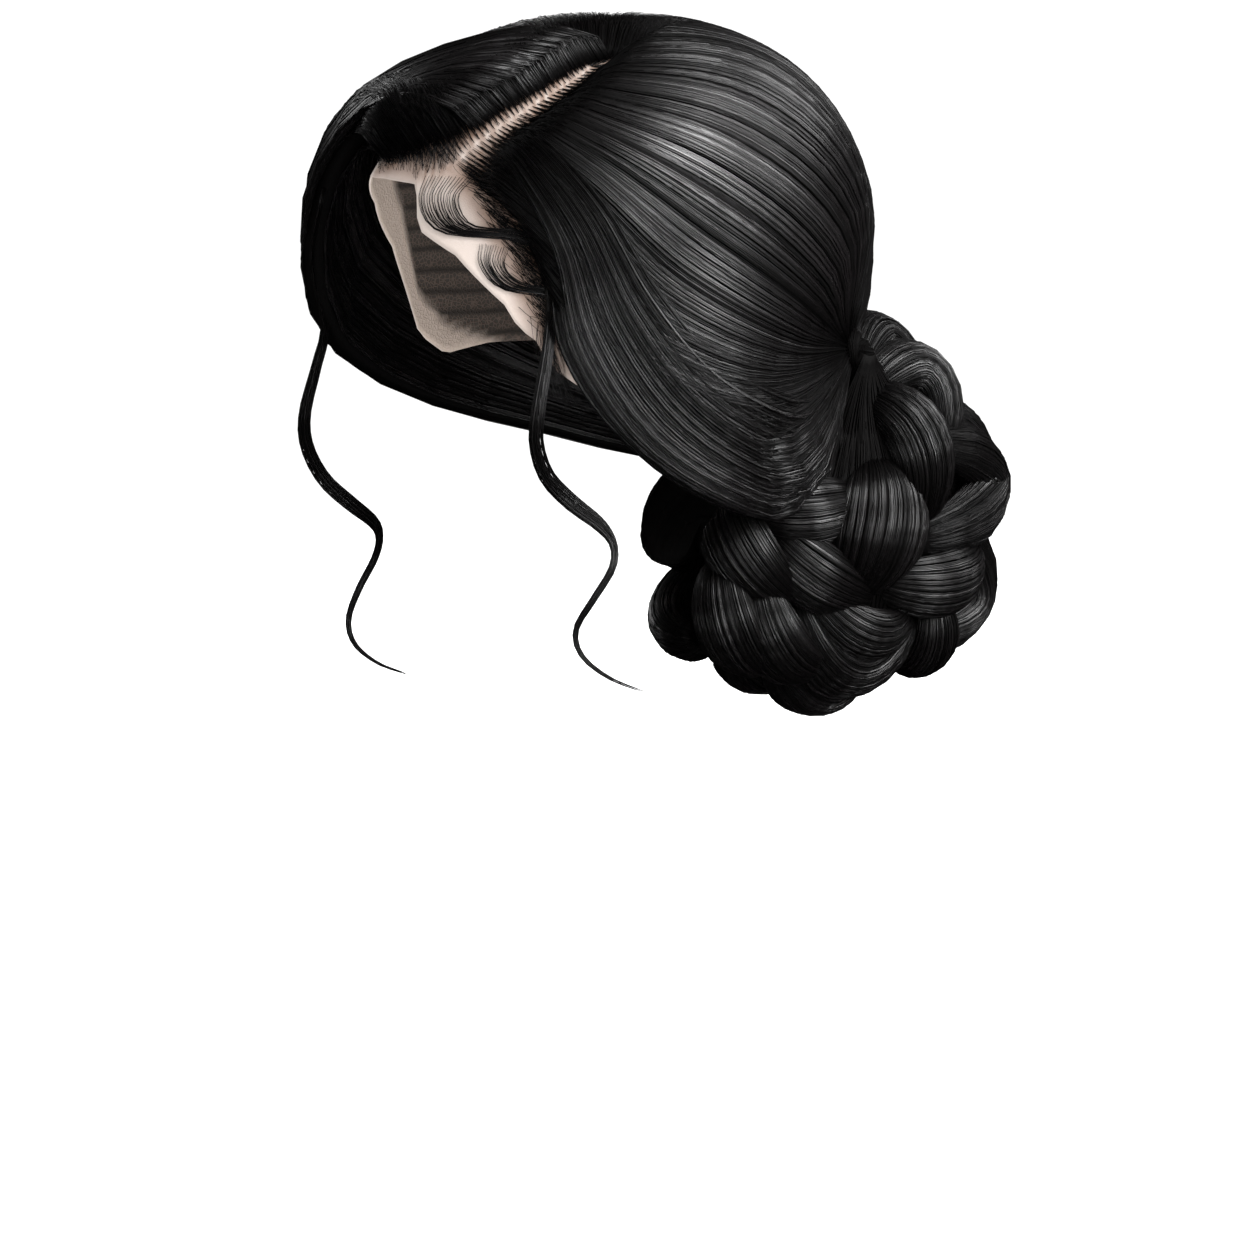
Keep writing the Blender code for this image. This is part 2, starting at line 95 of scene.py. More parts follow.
# The chignon
BUN_HALF_WIDTH = 0.062
BUN_HALF_LENGTH = 0.082
BUN_HALF_HEIGHT = 0.074
BUN_SETBACK = 0.080
BUN_OFFSET = 0.012
BUN_DROP = 0.080
BUN_SQUARENESS = 2.2
BUN_FULLNESS = 2.6
LOCK_FLATNESS = 0.70
LOCK_DIVE = 0.15
LOCK_TUCK = 0.12

# The tendrils
TENDRIL_LENGTH = 0.145
TENDRIL_SWAY = 0.0356
TENDRIL_WIDTH = 0.008
TENDRIL_FLATNESS = 0.45
LEFT_ROOT = (59.0, 6.0)
RIGHT_ROOT = (1.0, 0.47)

# How hairs are laid: the run in which one rises from its root and the run in which it reaches its
# full width, the unevenness of clumps and the groove between two of them
RISE_RUN = 0.009
WIDTH_RUN = 0.014
CLUMP_RELIEF = 0.00026
CLUMP_GROOVE = 0.0005

# The strands on a lock: the first angle round it and the arc that they cover, and how many clumps
LOCK_FIRST = -62.0
LOCK_ARC = 304.0
LOCK_CLUMPS = 26

# How far the dense hair of a panel lies under its strands, at the sides and at the nape
PANEL_SINK = 0.0014
NAPE_SINK = 0.0012

# The tufts along a panel's root line, and the rise and scatter of loose hairs
TUFTS = 64
WISP_RISE = (0.0006, 0.0022)
WISP_SCATTER = 1.2

# The mean radius of the head, to turn small angles on it into lengths
MEAN_RADIUS = 0.1

# The photo's view, as degrees of turn and rise, the camera's place in it and the lamps' aim
VIEW_TURN = 68.0
VIEW_RISE = 8.5
CAMERA_PLACE = (1.7643, -0.6973, 0.0558)
LAMP_AIM = (0.02, 0.03, -0.13)

# Edge of the lace cap, the same on both sides: turn from the front, rise
CAP_EDGE = (
    (0, 33.0), (20, 32.5), (35, 26.0), (48, 15.0), (54, 4.0), (58, -8.0), (66, -14.0),
    (80, -12.0), (100, -12.0), (112, -24.0), (125, -36.0), (150, -42.0), (180, -43.0),
)

# How far the sheer front of the lace runs on under the fans of fine hair, in degrees
FRONT_LACE = 8.5

# Combing of the hair, a row for each guide strand from its root to the band:
# root, three places on its way, its place on the band's dial, and its stand off the head at
# the second and third places as a share of SWOOP_STAND
LEFT_STRANDS = (
    ((120, 74.6), (160, 65.8), (168, 45), (167, 20), 8, 0.0, 0.0),
    ((72, 70.2), (112, 68), (151, 51), (158, 23), 26, 0.0, 0.0),
    ((56, 61), (86, 58), (125, 44), (147, 20), 46, 0.0, 0.0),
    ((45, 52.5), (75, 45), (104, 30), (131, 9), 66, 0.0, 0.0),
    ((37, 45), (64, 33), (87, 12), (116, -3), 86, 0.0, 0.05),
    ((32, 37.5), (60, 23), (80, 1), (108, -11), 106, 0.0, 0.1),
    ((45, 30), (65, 12), (84, -12), (114, -22), 126, 0.0, 0.15),
    ((53, 20), (68, -2), (90, -23), (123, -31), 148, 0.05, 0.3),
    ((58, 8), (72, -20), (101, -38), (137, -37), 172, 0.1, 0.4),
)
RIGHT_STRANDS = (
    ((124, 75.6), (164, 66.6), (169.8, 45.4), (168.8, 20), -8, 0.0, 0.0),
    ((98, 74), (-162, 60), (-166, 36), (-178, 10), -26, 0.0, 0.0),
    ((66, 72), (-100, 72), (-128, 40), (-154, 8), -44, 0.0, 0.0),
    ((50, 61.5), (-52, 70), (-100, 37), (-138, 2), -62, 0.0, 0.0),
    ((38, 52), (-28, 61), (-80, 28), (-124, -5), -82, 0.1, 0.0),
    ((28, 42.5), (-12, 53), (-62, 20), (-112, -13), -105, 0.5, 0.05),
    ((14, 38), (-14, 45), (-52, 8), (-104, -24), -138, 0.85, 0.15),
    ((0, 36), (-22, 36), (-50, -8), (-106, -35), -171, 1.0, 0.2),
)

# The top layers, laid over the panels. The left one frames the temple with its front edge, and the
# right one rolls forward from the parting before it falls.
LEFT_SWEEP = (
    ((40, 49), (56, 43), (72, 30), (84, 12), (98, -4), (112, -12), (128, -15), 100, 0.0, 0.05),
    ((38, 46), (53, 38), (67, 23), (76, 3), (89, -15), (107, -26), (126, -28), 128, 0.0, 0.2),
    ((36, 43.5), (50, 34), (61, 18), (66, -2), (79, -22), (102, -34), (129, -36), 152, 0.05, 0.35),
    ((36, 41.5), (48, 32.5), (58, 17), (61, -2), (72, -20), (98, -36.5), (134, -38), 172, 0.1, 0.4),
)
RIGHT_SWEEP = (
    ((88, 74), (66, 78), (28, 76), (-2, 64), (-24, 44), (-52, 8), (-100, -14), -112, 0.0, 0.0),
    ((68, 70.5), (52, 73), (27, 71), (2, 58.5), (-20, 42), (-48, 6), (-99, -20), -130, 0.0, 0.0),
    ((54, 63.5), (43, 66), (25, 63), (5, 53), (-18, 38), (-47, 3), (-101, -25), -145, 0.0, 0.0),
    ((43, 55.5), (34, 57), (20, 55), (2, 48), (-20, 36), (-48, 0), (-103, -29), -158, 0.0, 0.0),
    ((32, 46), (25, 47.5), (12, 47.5), (-6, 43.5), (-24, 35), (-50, -4), (-105, -33), -171, 0.0, 0.0),
)

# How far down each panel its roots still show the lace, across the panel from its first strand
LEFT_ZONE = (0.09, 0.085, 0.075, 0.06, 0.085, 0.12, 0.14, 0.115, 0.085)
RIGHT_ZONE = (0.02, 0.02, 0.02, 0.022, 0.03, 0.045, 0.07, 0.09)

# The bare line of the parting, from the hairline back
PART_LINE = ((28, 37.3), (32.7, 43.8), (41.3, 52), (52.8, 61.2), (69, 71.2))

# Locks of the chignon, the topmost first: name, where each starts, crests and ends, its width
# as a share of BUN_HALF_HEIGHT, and its reach as a share of the chignon's own surface
LOCKS = (
    ("lock_centre", (112, 24), (107, 0), (102, -26), 0.60, 1.06),
    ("lock_from_band", (120, 52), (127, 29), (131, 2), 0.42, 1.03),
    ("lock_left_middle", (58, -2), (75, -17), (102, -30), 0.36, 1.03),
    ("lock_left_outer", (43, 12), (50, -5), (64, -24), 0.36, 1.10),
    ("lock_right_lower", (112, -24), (137, -21), (164, -13), 0.36, 1.04),
    ("lock_left_upper", (50, 10), (72, 8), (96, 12), 0.36, 1.01),
    ("lock_band_over", (116, 63), (158, 66), (162, 48), 0.34, 1.10),
    ("lock_under_middle", (76, -28), (101, -41), (128, -36), 0.32, 1.02),
    ("lock_band_behind", (122, 56), (150, 49), (147, 26), 0.36, 1.05),
    ("lock_under_long", (68, -32), (98, -56), (132, -40), 0.38, 1.05),
    ("lock_right_upper", (138, 27), (160, 8), (130, -6), 0.38, 1.08),
    ("lock_neck_lower", (53, -18), (60, -37), (81, -56), 0.36, 1.09),
    ("lock_right_tail", (158, -6), (168, -26), (148, -44), 0.36, 1.07),
    ("lock_under_right", (156, -52), (144, -42), (139, -28), 0.32, 1.05),
    ("lock_neck_edge", (42, -12), (46, -29), (53, -48), 0.34, 1.12),
    ("lock_under_edge", (60, -54), (95, -71), (126, -62), 0.34, 1.07),
    ("lock_back_top", (174, 62), (-162, 56), (-142, 42), 0.44, 1.05),
    ("lock_far_top", (-144, 62), (-116, 54), (-92, 42), 0.44, 1.03),
    ("lock_back_centre", (168, 34), (-180, 12), (-172, -10), 0.48, 1.06),
    ("lock_back_right", (-160, 40), (-147, 18), (-141, -6), 0.48, 1.06),
    ("lock_far_high", (-126, 38), (-115, 16), (-111, -8), 0.48, 1.05),
    ("lock_far_upper", (-98, 32), (-87, 8), (-85, -16), 0.46, 1.04),
    ("lock_far_neck", (-74, 26), (-62, 2), (-60, -22), 0.44, 1.08),
    ("lock_back_low", (172, -14), (-172, -34), (-148, -44), 0.46, 1.06),
    ("lock_far_low", (-150, -12), (-130, -30), (-106, -40), 0.46, 1.05),
    ("lock_far_lower", (-112, -14), (-94, -32), (-70, -38), 0.44, 1.05),
    ("lock_far_under", (-76, -28), (-60, -42), (-46, -54), 0.42, 1.07),
    ("lock_back_under", (170, -56), (-152, -66), (-112, -68), 0.44, 1.05),
    ("lock_far_edge", (-112, -58), (-84, -66), (-54, -66), 0.42, 1.06),
)

# A tendril from its root to its tip: drop as a share of its length, sway towards the back and
# lean away from the face as shares of TENDRIL_SWAY, width as a share of TENDRIL_WIDTH
TENDRIL = (
    (0.00, 0.00, 0.00, 0.62), (0.12, -0.08, 0.08, 0.70), (0.25, -0.20, 0.14, 0.82),
    (0.34, -0.20, 0.08, 0.90), (0.43, -0.04, -0.02, 0.98), (0.50, 0.25, -0.06, 1.00),
    (0.56, 0.55, 0.02, 0.80), (0.61, 0.66, 0.12, 0.48), (0.67, 0.62, 0.18, 0.42),
    (0.75, 0.42, 0.14, 0.40), (0.83, 0.26, 0.04, 0.36), (0.90, 0.33, 0.04, 0.30),
    (0.96, 0.62, 0.10, 0.22), (1.00, 1.00, 0.16, 0.12),
)

# Fans of fine hair on the lace in front of the left hairline: the outermost and the innermost
# hair of each, by places on the head, and how many hairs it has
FANS = (
    (((21, 34.5), (22, 28.4), (30, 22.3), (47.5, 22.2)),
     ((36, 35.4), (33, 30.2), (38.5, 24.6), (49.5, 24.5)), 15),
    (((41, 20.6), (41.4, 16.1), (46.7, 10.8), (57, 9.3)),
     ((48, 20.5), (47.2, 16.2), (51, 12.4), (57.5, 11.2)), 12),
)

# Short hairs along the hairline: name, the line of their roots, the line of their tips, how many
# there are, their half width and how far they sag, in degrees
WISPS = (
    ("hairline_left_temple", ((30, 38), (35.5, 33.5), (41, 28.5), (47, 21.5), (52, 12), (56, 3)),
     ((46, 37), (54, 29), (60, 19), (63, 10), (66, 0), (69, -8)), 560, 0.00012, 1.0),
    ("hairline_forehead", ((-8, 35), (2, 35.8), (12, 35.8), (21, 35.5), (28, 37.5)),
     ((-18, 42), (-6, 43), (4, 44.5), (14, 45), (25, 45)), 420, 0.00010, 0.0),
    ("hairline_sideburn", ((56.5, 8), (57.5, 3), (58, -3), (60, -8)),
     ((57, -9), (59, -13), (62, -19), (67, -22)), 150, 0.00010, 0.0),
    ("hairline_neck", ((98, -13), (106, -19), (114, -26), (122, -33)),
     ((97, -31), (103, -40), (110, -46), (118, -50)), 46, 0.00008, 0.0),
)


def directions(places):
    """Unit vectors for rows of turn and rise in degrees."""
    turn, rise = np.moveaxis(np.radians(np.asarray(places, float)), -1, 0)
    level = np.cos(rise)
    return np.stack([np.sin(turn) * level, -np.cos(turn) * level, np.sin(rise)], -1)


def unit_rows(vectors):
    return vectors / np.maximum(np.linalg.norm(vectors, axis=-1, keepdims=True), 1e-12)


def turn_and_rise(unit):
    """The turn from the front and the rise, in degrees, of directions from the head's centre."""
    turn = np.degrees(np.arctan2(unit[..., 0], -unit[..., 1]))
    return turn, np.degrees(np.arcsin(np.clip(unit[..., 2], -1.0, 1.0)))


def smooth(share):
    share = np.clip(share, 0.0, 1.0)
    return share * share * (3.0 - 2.0 * share)


def spline_weights(count, share):
    """How much each of count evenly spaced values adds to the smooth curve through them."""
    place = np.clip(share, 0.0, 1.0) * (count - 1)
    first = np.minimum(place.astype(int), count - 2)
    t = place - first
    weights = np.zeros((len(place), count + 2))
    rows = np.arange(len(place))
    weights[rows, first] = (-t + 2.0 * t ** 2 - t ** 3) / 2.0
    weights[rows, first + 1] = (2.0 - 5.0 * t ** 2 + 3.0 * t ** 3) / 2.0
    weights[rows, first + 2] = (t + 4.0 * t ** 2 - 3.0 * t ** 3) / 2.0
    weights[rows, first + 3] = (t ** 3 - t ** 2) / 2.0
    kept = weights[:, 1:-1].copy()
    kept[:, 0] += 2.0 * weights[:, 0]
    kept[:, 1] -= weights[:, 0]
    kept[:, -1] += 2.0 * weights[:, -1]
    kept[:, -2] -= weights[:, -1]
    return kept


def through(values, share):
    """The smooth curve through rows of values, at an array of shares of its run."""
    share = np.asarray(share, float)
    flat = spline_weights(len(values), share.ravel()) @ np.asarray(values, float)
    return flat.reshape(*share.shape, -1)


def line_on_head(places):
    """Directions along the smooth line through places on the head."""
    return directions(through(places, np.linspace(0.0, 1.0, 80)))


def apart_from(unit, line):
    """How far directions lie from a line on the head, in metres."""
    return np.arccos(np.clip((unit @ line.T).max(1), -1.0, 1.0)) * MEAN_RADIUS


def bend(first, middle, last, step):
    """The curve from first to last that is drawn towards middle."""
    return (first[:, None] * (1.0 - step) ** 2 + middle[:, None] * 2.0 * step * (1.0 - step)
            + last[:, None] * step ** 2)


def evened(rows, rounds):
    """Rows of values with their small jumps smoothed out."""
    for _ in range(rounds):
        rows[:, 1:-1] = (rows[:, :-2] + rows[:, 1:-1] * 2.0 + rows[:, 2:]) / 4.0
    return rows


def egg_radius(unit, half_width, half_length, height, squareness, fullness):
    """The distance to an egg's surface: squareness rounds its plan and fullness its profile."""
    x, y, z = np.moveaxis(np.abs(unit), -1, 0)
    plan = (x / half_width) ** squareness + (y / half_length) ** squareness
    return (plan ** (fullness / squareness) + (z / height) ** fullness) ** (-1.0 / fullness)


def head_radius(unit):
    height = np.where(unit[..., 2] > 0.0, HEAD_CROWN, HEAD_DEPTH)
    return egg_radius(unit, HEAD_HALF_WIDTH, HEAD_HALF_LENGTH, height, HEAD_SQUARENESS, 2.0)


def under_radius(unit):
    """Where the hair's underside lies on the cap."""
    return head_radius(unit) + CAP_THICKNESS + SEAT_GAP


def hair_radius(unit):
    """The surface of the dressed hair, fuller behind the crown than over the forehead."""
    back = smooth((np.abs(turn_and_rise(unit)[0]) - 60.0) / 70.0)
    fullness = FRONT_FULLNESS + (BACK_FULLNESS - FRONT_FULLNESS) * back
    return egg_radius(unit, HEAD_HALF_WIDTH + SIDE_VOLUME, HEAD_HALF_LENGTH + END_VOLUME,
                      HEAD_CROWN + CROWN_VOLUME, HAIR_SQUARENESS, fullness)


def bun_radius(unit):
    return egg_radius(unit, BUN_HALF_WIDTH, BUN_HALF_LENGTH, BUN_HALF_HEIGHT, BUN_SQUARENESS,
                      BUN_FULLNESS)


def cap_edge(turn):
    """The rise of the cap's edge at a turn from the front, in degrees."""
    table = np.array(CAP_EDGE, float)
    return np.interp(np.abs((np.asarray(turn) + 180.0) % 360.0 - 180.0), table[:, 0], table[:, 1])


HEAD_CENTRE = np.array((0.0, 0.0, -HEAD_CROWN))
BUN_CENTRE = HEAD_CENTRE + np.array((BUN_OFFSET, BUN_SETBACK, -BUN_DROP))
BAND_OUT = directions(GATHER)
BAND_DISTANCE = float(hair_radius(BAND_OUT)) - TUCK_DEPTH
BAND_CENTRE = HEAD_CENTRE + BAND_OUT * BAND_DISTANCE


def dial(angle):
    """A direction on the ring where the hair meets the band: 0 above it, 90 towards the face."""
    up = unit_rows(np.array((0.0, 0.0, 1.0)) - BAND_OUT * BAND_OUT[2])
    face = np.cross(BAND_OUT, up)
    ring = (TIE_RADIUS + TIE_THICKNESS / 2.0) / BAND_DISTANCE
    angle = math.radians(angle)
    return unit_rows(BAND_OUT + (up * math.cos(angle) + face * math.sin(angle)) * ring)


class Combing:
    """A panel of hair, laid over the cap along its guide strands."""

    def __init__(self, strands, zone=(0.0, 0.0)):
        self.zone = zone
        self.routes = np.array([[*directions(row[:-3]), dial(row[-3])] for row in strands])
        self.stands = np.array([[0.0, row[-2] * 0.4, row[-2], row[-1], 0.0] for row in strands])

    def at(self, across, down):
        """The direction, the direction of the root and the stand off the head at places of it."""
        across, down = np.broadcast_arrays(across, down)
        over = spline_weights(len(self.routes), across.ravel())
        along = spline_weights(self.routes.shape[1], down.ravel())
        unit = unit_rows(np.einsum("nr,nk,rkc->nc", over, along, self.routes, optimize=True))
        along = spline_weights(5, down.ravel())
        root = unit_rows(over @ self.routes[:, 0])
        stand = np.einsum("nr,nk,rk->n", over, along, self.stands, optimize=True) * SWOOP_STAND
        shape = across.shape
        return unit.reshape(*shape, 3), root.reshape(*shape, 3), np.maximum(0.0, stand).reshape(shape)

    def outer(self, across, down, grow=0.0):
        """The panel's surface, with every point moved out by grow."""
        unit, root, stand = self.at(across, down)
        under = under_radius(unit)
        apart = np.arccos(np.clip(np.sum(unit * root, -1), -1.0, 1.0))
        rise = smooth(apart * under / RISE_LENGTH)
        full = hair_radius(unit) - under - TUCK_DEPTH * smooth((down - 0.72) / 0.28)
        free_edge = smooth((1.0 - across) * len(self.routes) / 1.6)
        full = full * (EDGE_SHARE + (1.0 - EDGE_SHARE) * free_edge)
        height = under + ROOT_VOLUME + (full - ROOT_VOLUME) * rise + stand + grow
        return HEAD_CENTRE + unit * height[..., None]

    def inner(self, across, down, grow=0.0):
        """The panel's face towards the head, with every point moved out by grow."""
        unit, _, stand = self.at(across, down)
        return HEAD_CENTRE + unit * (under_radius(unit) + stand * HOLLOW_SHARE + grow)[..., None]

    def root_zone(self, across):
        """How far down the panel its roots are thin."""
        return np.interp(across, np.linspace(0.0, 1.0, len(self.zone)), self.zone)

    def even(self, shares, down=0.45):
        """Places across the panel that lie evenly apart at one level of it."""
        across = np.linspace(0.0, 1.0, 241)
        line = self.outer(across, np.full(241, down))
        steps = np.linalg.norm(np.diff(line, axis=0), axis=1)
        run = np.concatenate([[0.0], np.cumsum(steps)])
        return np.interp(shares * run[-1], run, across)


class Inside(Combing):
    """The same panel, combed on the face that looks at the head."""

    def outer(self, across, down, grow=0.0):
        return Combing.inner(self, across, down, -grow)

    def inner(self, across, down, grow=0.0):
        """The roots start inside the panel, whatever grow says."""
        return Combing.inner(self, across, down, 0.0007)


class Overlay(Combing):
    """A top layer that lies on another panel's surface instead of the head."""

    ray_start = 0.25
    ray_length = 0.19

    def __init__(self, strands, zone, under):
        super().__init__(strands, zone)
        columns, rows = 240, 160
        across, down = np.meshgrid(np.linspace(0.0, 1.0, columns), np.linspace(0.0, 1.0, rows),
                                   indexing="ij")
        places = under.outer(across, down).reshape(-1, 3)
        first = (np.arange(columns - 1)[:, None] * rows + np.arange(rows - 1)).ravel()
        faces = np.stack([first, first + rows, first + rows + 1, first + 1], -1)
        self.tree = BVHTree.FromPolygons(places.tolist(), faces.tolist())

    def outer(self, across, down, grow=0.0):
        unit = self.at(across, down)[0]
        flat = unit.reshape(-1, 3)
        reach = np.zeros(len(flat))
        for row, (direction, start) in enumerate(zip(flat, HEAD_CENTRE + flat * self.ray_start)):
            distance = self.tree.ray_cast(Vector(start), Vector(-direction), self.ray_length)[3]
            if distance is not None:
                reach[row] = self.ray_start - distance
        reach = reach.reshape(unit.shape[:-1])
        for row in reach:
            hit = np.flatnonzero(row)
            row[:] = np.interp(np.arange(len(row)), hit, row[hit])
        return HEAD_CENTRE + unit * (evened(reach, 3) + grow)[..., None]

    def even(self, shares, down=0.45):
        """The guide strands of a top layer are even as they are."""
        return shares


class Nape:
    """The short hair combed up from the nape, under the gathered hair."""

    def root_zone(self, across):
        return np.full_like(across, 0.07)

    def unit(self, across, down):
        turn = NAPE_START + (360.0 - NAPE_START * 2.0) * across
        root = cap_edge(turn) + HAIRLINE_INSET
        return directions(np.stack([turn, root + (NAPE_TOP - root) * down], -1))

    def outer(self, across, down, grow=0.0):
        """The panel's surface, with every point moved out by grow."""
        across, down = np.broadcast_arrays(across, down)
        unit = self.unit(across, down)
        lift = ROOT_VOLUME + (NAPE_VOLUME - ROOT_VOLUME) * smooth(down * 3.0)
        return HEAD_CENTRE + unit * (under_radius(unit) + lift + grow)[..., None]

    def inner(self, across, down, grow=0.0):
        across, down = np.broadcast_arrays(across, down)
        unit = self.unit(across, down)
        return HEAD_CENTRE + unit * (under_radius(unit) + grow)[..., None]


def lock_surface(places, width, reach, share, around, grow=0.0):
    """Points on a lock at shares of its run and angles round it, with 90 degrees outwards."""
    start, crest, end = directions(places)
    half_width = width * BUN_HALF_HEIGHT / 2.0
    half_thickness = half_width * LOCK_FLATNESS

    def line(at):
        t = (at * (1.0 + 2.0 * LOCK_TUCK) - LOCK_TUCK)[..., None]
        bend = (start + end) * 2.0 - crest * 4.0
        slope = crest * 4.0 - start * 3.0 - end
        unit = unit_rows(start + slope * t + bend * t * t)
        depth = LOCK_DIVE * (2.0 * at - 1.0) ** 2
        return unit, BUN_CENTRE + unit * (bun_radius(unit) * (reach - depth) - half_thickness)[..., None]

    share, around = np.broadcast_arrays(share, np.radians(around))
    unit, middle = line(share)
    run = line(np.minimum(share + 0.02, 1.0))[1] - line(np.maximum(share - 0.02, 0.0))[1]
    side = unit_rows(np.cross(run, unit))
    face = unit_rows(np.cross(side, run))
    belly = np.sqrt(np.sin(np.pi * np.clip(share, 0.0, 1.0)))
    sideways = (np.cos(around) * (half_width + grow) * belly)[..., None]
    outwards = (np.sin(around) * (half_thickness + grow) * belly)[..., None]
    return middle + side * sideways + face * outwards


def clear_of_head(places, gap):
    """Moves the places that lie inside the cap out to gap above it."""
    away = places - HEAD_CENTRE
    distance = np.linalg.norm(away, axis=-1)
    unit = unit_rows(away)
    return HEAD_CENTRE + unit * np.maximum(distance, under_radius(unit) + gap)[..., None]


def tendril_line(top, mirror, lead):
    """The places of a tendril's middle line and its half widths, from inside the hair to the tip."""
    rows = np.array(TENDRIL)
    line = np.stack([mirror * rows[:, 2] * TENDRIL_SWAY, rows[:, 1] * TENDRIL_SWAY,
                     -rows[:, 0] * TENDRIL_LENGTH], -1)
    widths = np.concatenate([np.full(len(lead), 0.4), rows[:, 3]]) * TENDRIL_WIDTH / 2.0
    return np.concatenate([lead, top + line]), widths


class Socket:
    """A value in a material. Arithmetic on it adds the Math nodes."""

    def __init__(self, finish, link):
        self.finish = finish
        self.link = link

    def join(self, operation, *values):
        return self.finish.node("ShaderNodeMath", {"operation": operation}, dict(enumerate(values)))

    def __add__(self, other):
        return self.join("ADD", self, other)

    def __radd__(self, other):
        return self.join("ADD", other, self)

    def __rsub__(self, other):
        return self.join("SUBTRACT", other, self)

    def __mul__(self, other):
        return self.join("MULTIPLY", self, other)

    def __rmul__(self, other):
        return self.join("MULTIPLY", other, self)

    def __pow__(self, other):
        return self.join("POWER", self, other)


class Finish:
    """A material, written as expressions."""

    def __init__(self, name):
        self.material = bpy.data.materials.new(name)
        self.material.use_nodes = True
        self.tree = self.material.node_tree
        self.tree.nodes.clear()

    def node(self, kind, settings, sockets, output=0):
        made = self.tree.nodes.new(kind)
        for key, value in settings.items():
            if key == "stops":
                ramp = made.color_ramp.elements
                while len(ramp) < len(value):
                    ramp.new(1.0)
                for stop, (place, colour) in zip(ramp, value):
                    stop.position = place
                    stop.color = colour
            else:
                setattr(made, key, value)
        for key, value in sockets.items():
            if isinstance(value, Socket):
                self.tree.links.new(value.link, made.inputs[key])
            else:
                made.inputs[key].default_value = value
        return Socket(self, made.outputs[output]) if made.outputs else made

    def attribute(self, name):
        return self.node("ShaderNodeAttribute", {"attribute_name": name}, {}, "Fac")

    def place(self):
        return self.node("ShaderNodeTexCoord", {}, {}, "Object")

    def noise(self, scale, detail=3.0, **sockets):
        return self.node("ShaderNodeTexNoise", {}, {"Vector": self.place(), "Scale": scale,
                                                    "Detail": detail, **sockets})

    def threads(self, scale, *edges):
        """A net: 1 on its threads and 0 in its holes."""
        net = self.node("ShaderNodeTexVoronoi", {"feature": "DISTANCE_TO_EDGE"},
                        {"Vector": self.place(), "Scale": scale})
        stops = tuple(zip(edges, ((1, 1, 1, 1), (0, 0, 0, 1))))
        return self.node("ShaderNodeValToRGB", {"stops": stops}, {"Fac": net})

    def bands(self, scale, distortion):
        """Rows at even heights."""
        return self.node("ShaderNodeTexWave", {"wave_type": "BANDS", "bands_direction": "Z"},
                         {"Vector": self.place(), "Scale": scale, "Distortion": distortion})

    def mix(self, share, first, second):
        return self.node("ShaderNodeMix", {"data_type": "RGBA"},
                         {"Factor": share, "A": first, "B": second}, 2)

    def bump(self, height, strength, distance):
        return self.node("ShaderNodeBump", {}, {"Height": height, "Strength": strength,
                                                "Distance": distance})

    def surface(self, **sockets):
        named = {key.replace("_", " "): value for key, value in sockets.items()}
        shader = self.node("ShaderNodeBsdfPrincipled", {}, named)
        self.node("ShaderNodeOutputMaterial", {}, {"Surface": shader})
        return self.material


def solid(colour, *shares):
    """An opaque colour. One share darkens all of it, three shares are for red, green and blue."""
    shares = shares * 3 if len(shares) == 1 else shares or (1.0, 1.0, 1.0)
    return (*[value * share for value, share in zip(colour, shares)], 1.0)


def hair_finish(settings):
    """Glossy strands: each has its own depth of black and its own gloss. Where shine is high the colour
    is lighter, a painted sheen, and where it is low it is darker, a painted shade.
    """
    finish = Finish("glossy_hair")
    strand = finish.attribute("strand")
    shine = finish.attribute("shine")
    drift = finish.noise(70.0)
    # Painted light and shade: the colour lightens with shine, a painted sheen where the hair lies open,
    # and darkens to painted shade near the roots, the band and the tucked ends of locks; strand gives
    # each hair its own tone.
    colour = finish.mix(strand ** 2.0 * (shine * 0.8 + 0.2), solid(settings.colour, 0.05),
                        solid(settings.colour, 0.50, 0.48, 0.52))
    return finish.surface(Base_Color=colour, Roughness=0.5 - strand * 0.1 + drift * 0.1,
                          Specular_IOR_Level=settings.gloss * 0.07,
                          Coat_Weight=settings.gloss * shine * (strand ** 2.0) * (drift * 0.8 + 0.6),
                          Coat_Roughness=settings.roughness, Coat_IOR=1.9)


def under_finish(settings):
    """The hair in the depth of a panel or lock: coloured far darker than the strands as painted shade of
    the depth, and darker still in the grooves between its strands, which are also bumped.
    """
    finish = Finish("hair_depth_shaded")
    groove = finish.node("ShaderNodeTexNoise", {"noise_dimensions": "1D"},
                         {"W": finish.attribute("across"), "Scale": 420.0, "Detail": 4.0})
    # Painted shade: dark colours for the shaded depth, the darkest in the grooves.
    colour = finish.mix(groove, solid(settings.colour, 0.03), solid(settings.colour, 0.18))
    return finish.surface(Base_Color=colour, Roughness=groove * 0.2 + 0.5,
                          Specular_IOR_Level=settings.gloss * 0.05,
                          Normal=finish.bump(groove, 0.8, 0.0006))


def lace_finish(settings):
    """Fine ivory net, browner where the hair is knotted into it."""
    finish = Finish("lace")
    knots = finish.attribute("knots")
    threads = finish.threads(1.0 / settings.mesh_size, 0.05, 0.16)
    cloud = finish.noise(90.0)
    plain = finish.mix(cloud * 0.35, solid(settings.colour), solid(settings.shade))
    tied = finish.mix(knots * (0.55 + cloud * 0.6), plain, solid(settings.knot_colour))
    woven = finish.mix(threads * 0.10, tied, solid(settings.shade))
    return finish.surface(Base_Color=woven, Roughness=0.82, Specular_IOR_Level=0.25,
                          Normal=finish.bump(threads, 0.35, 0.0002))


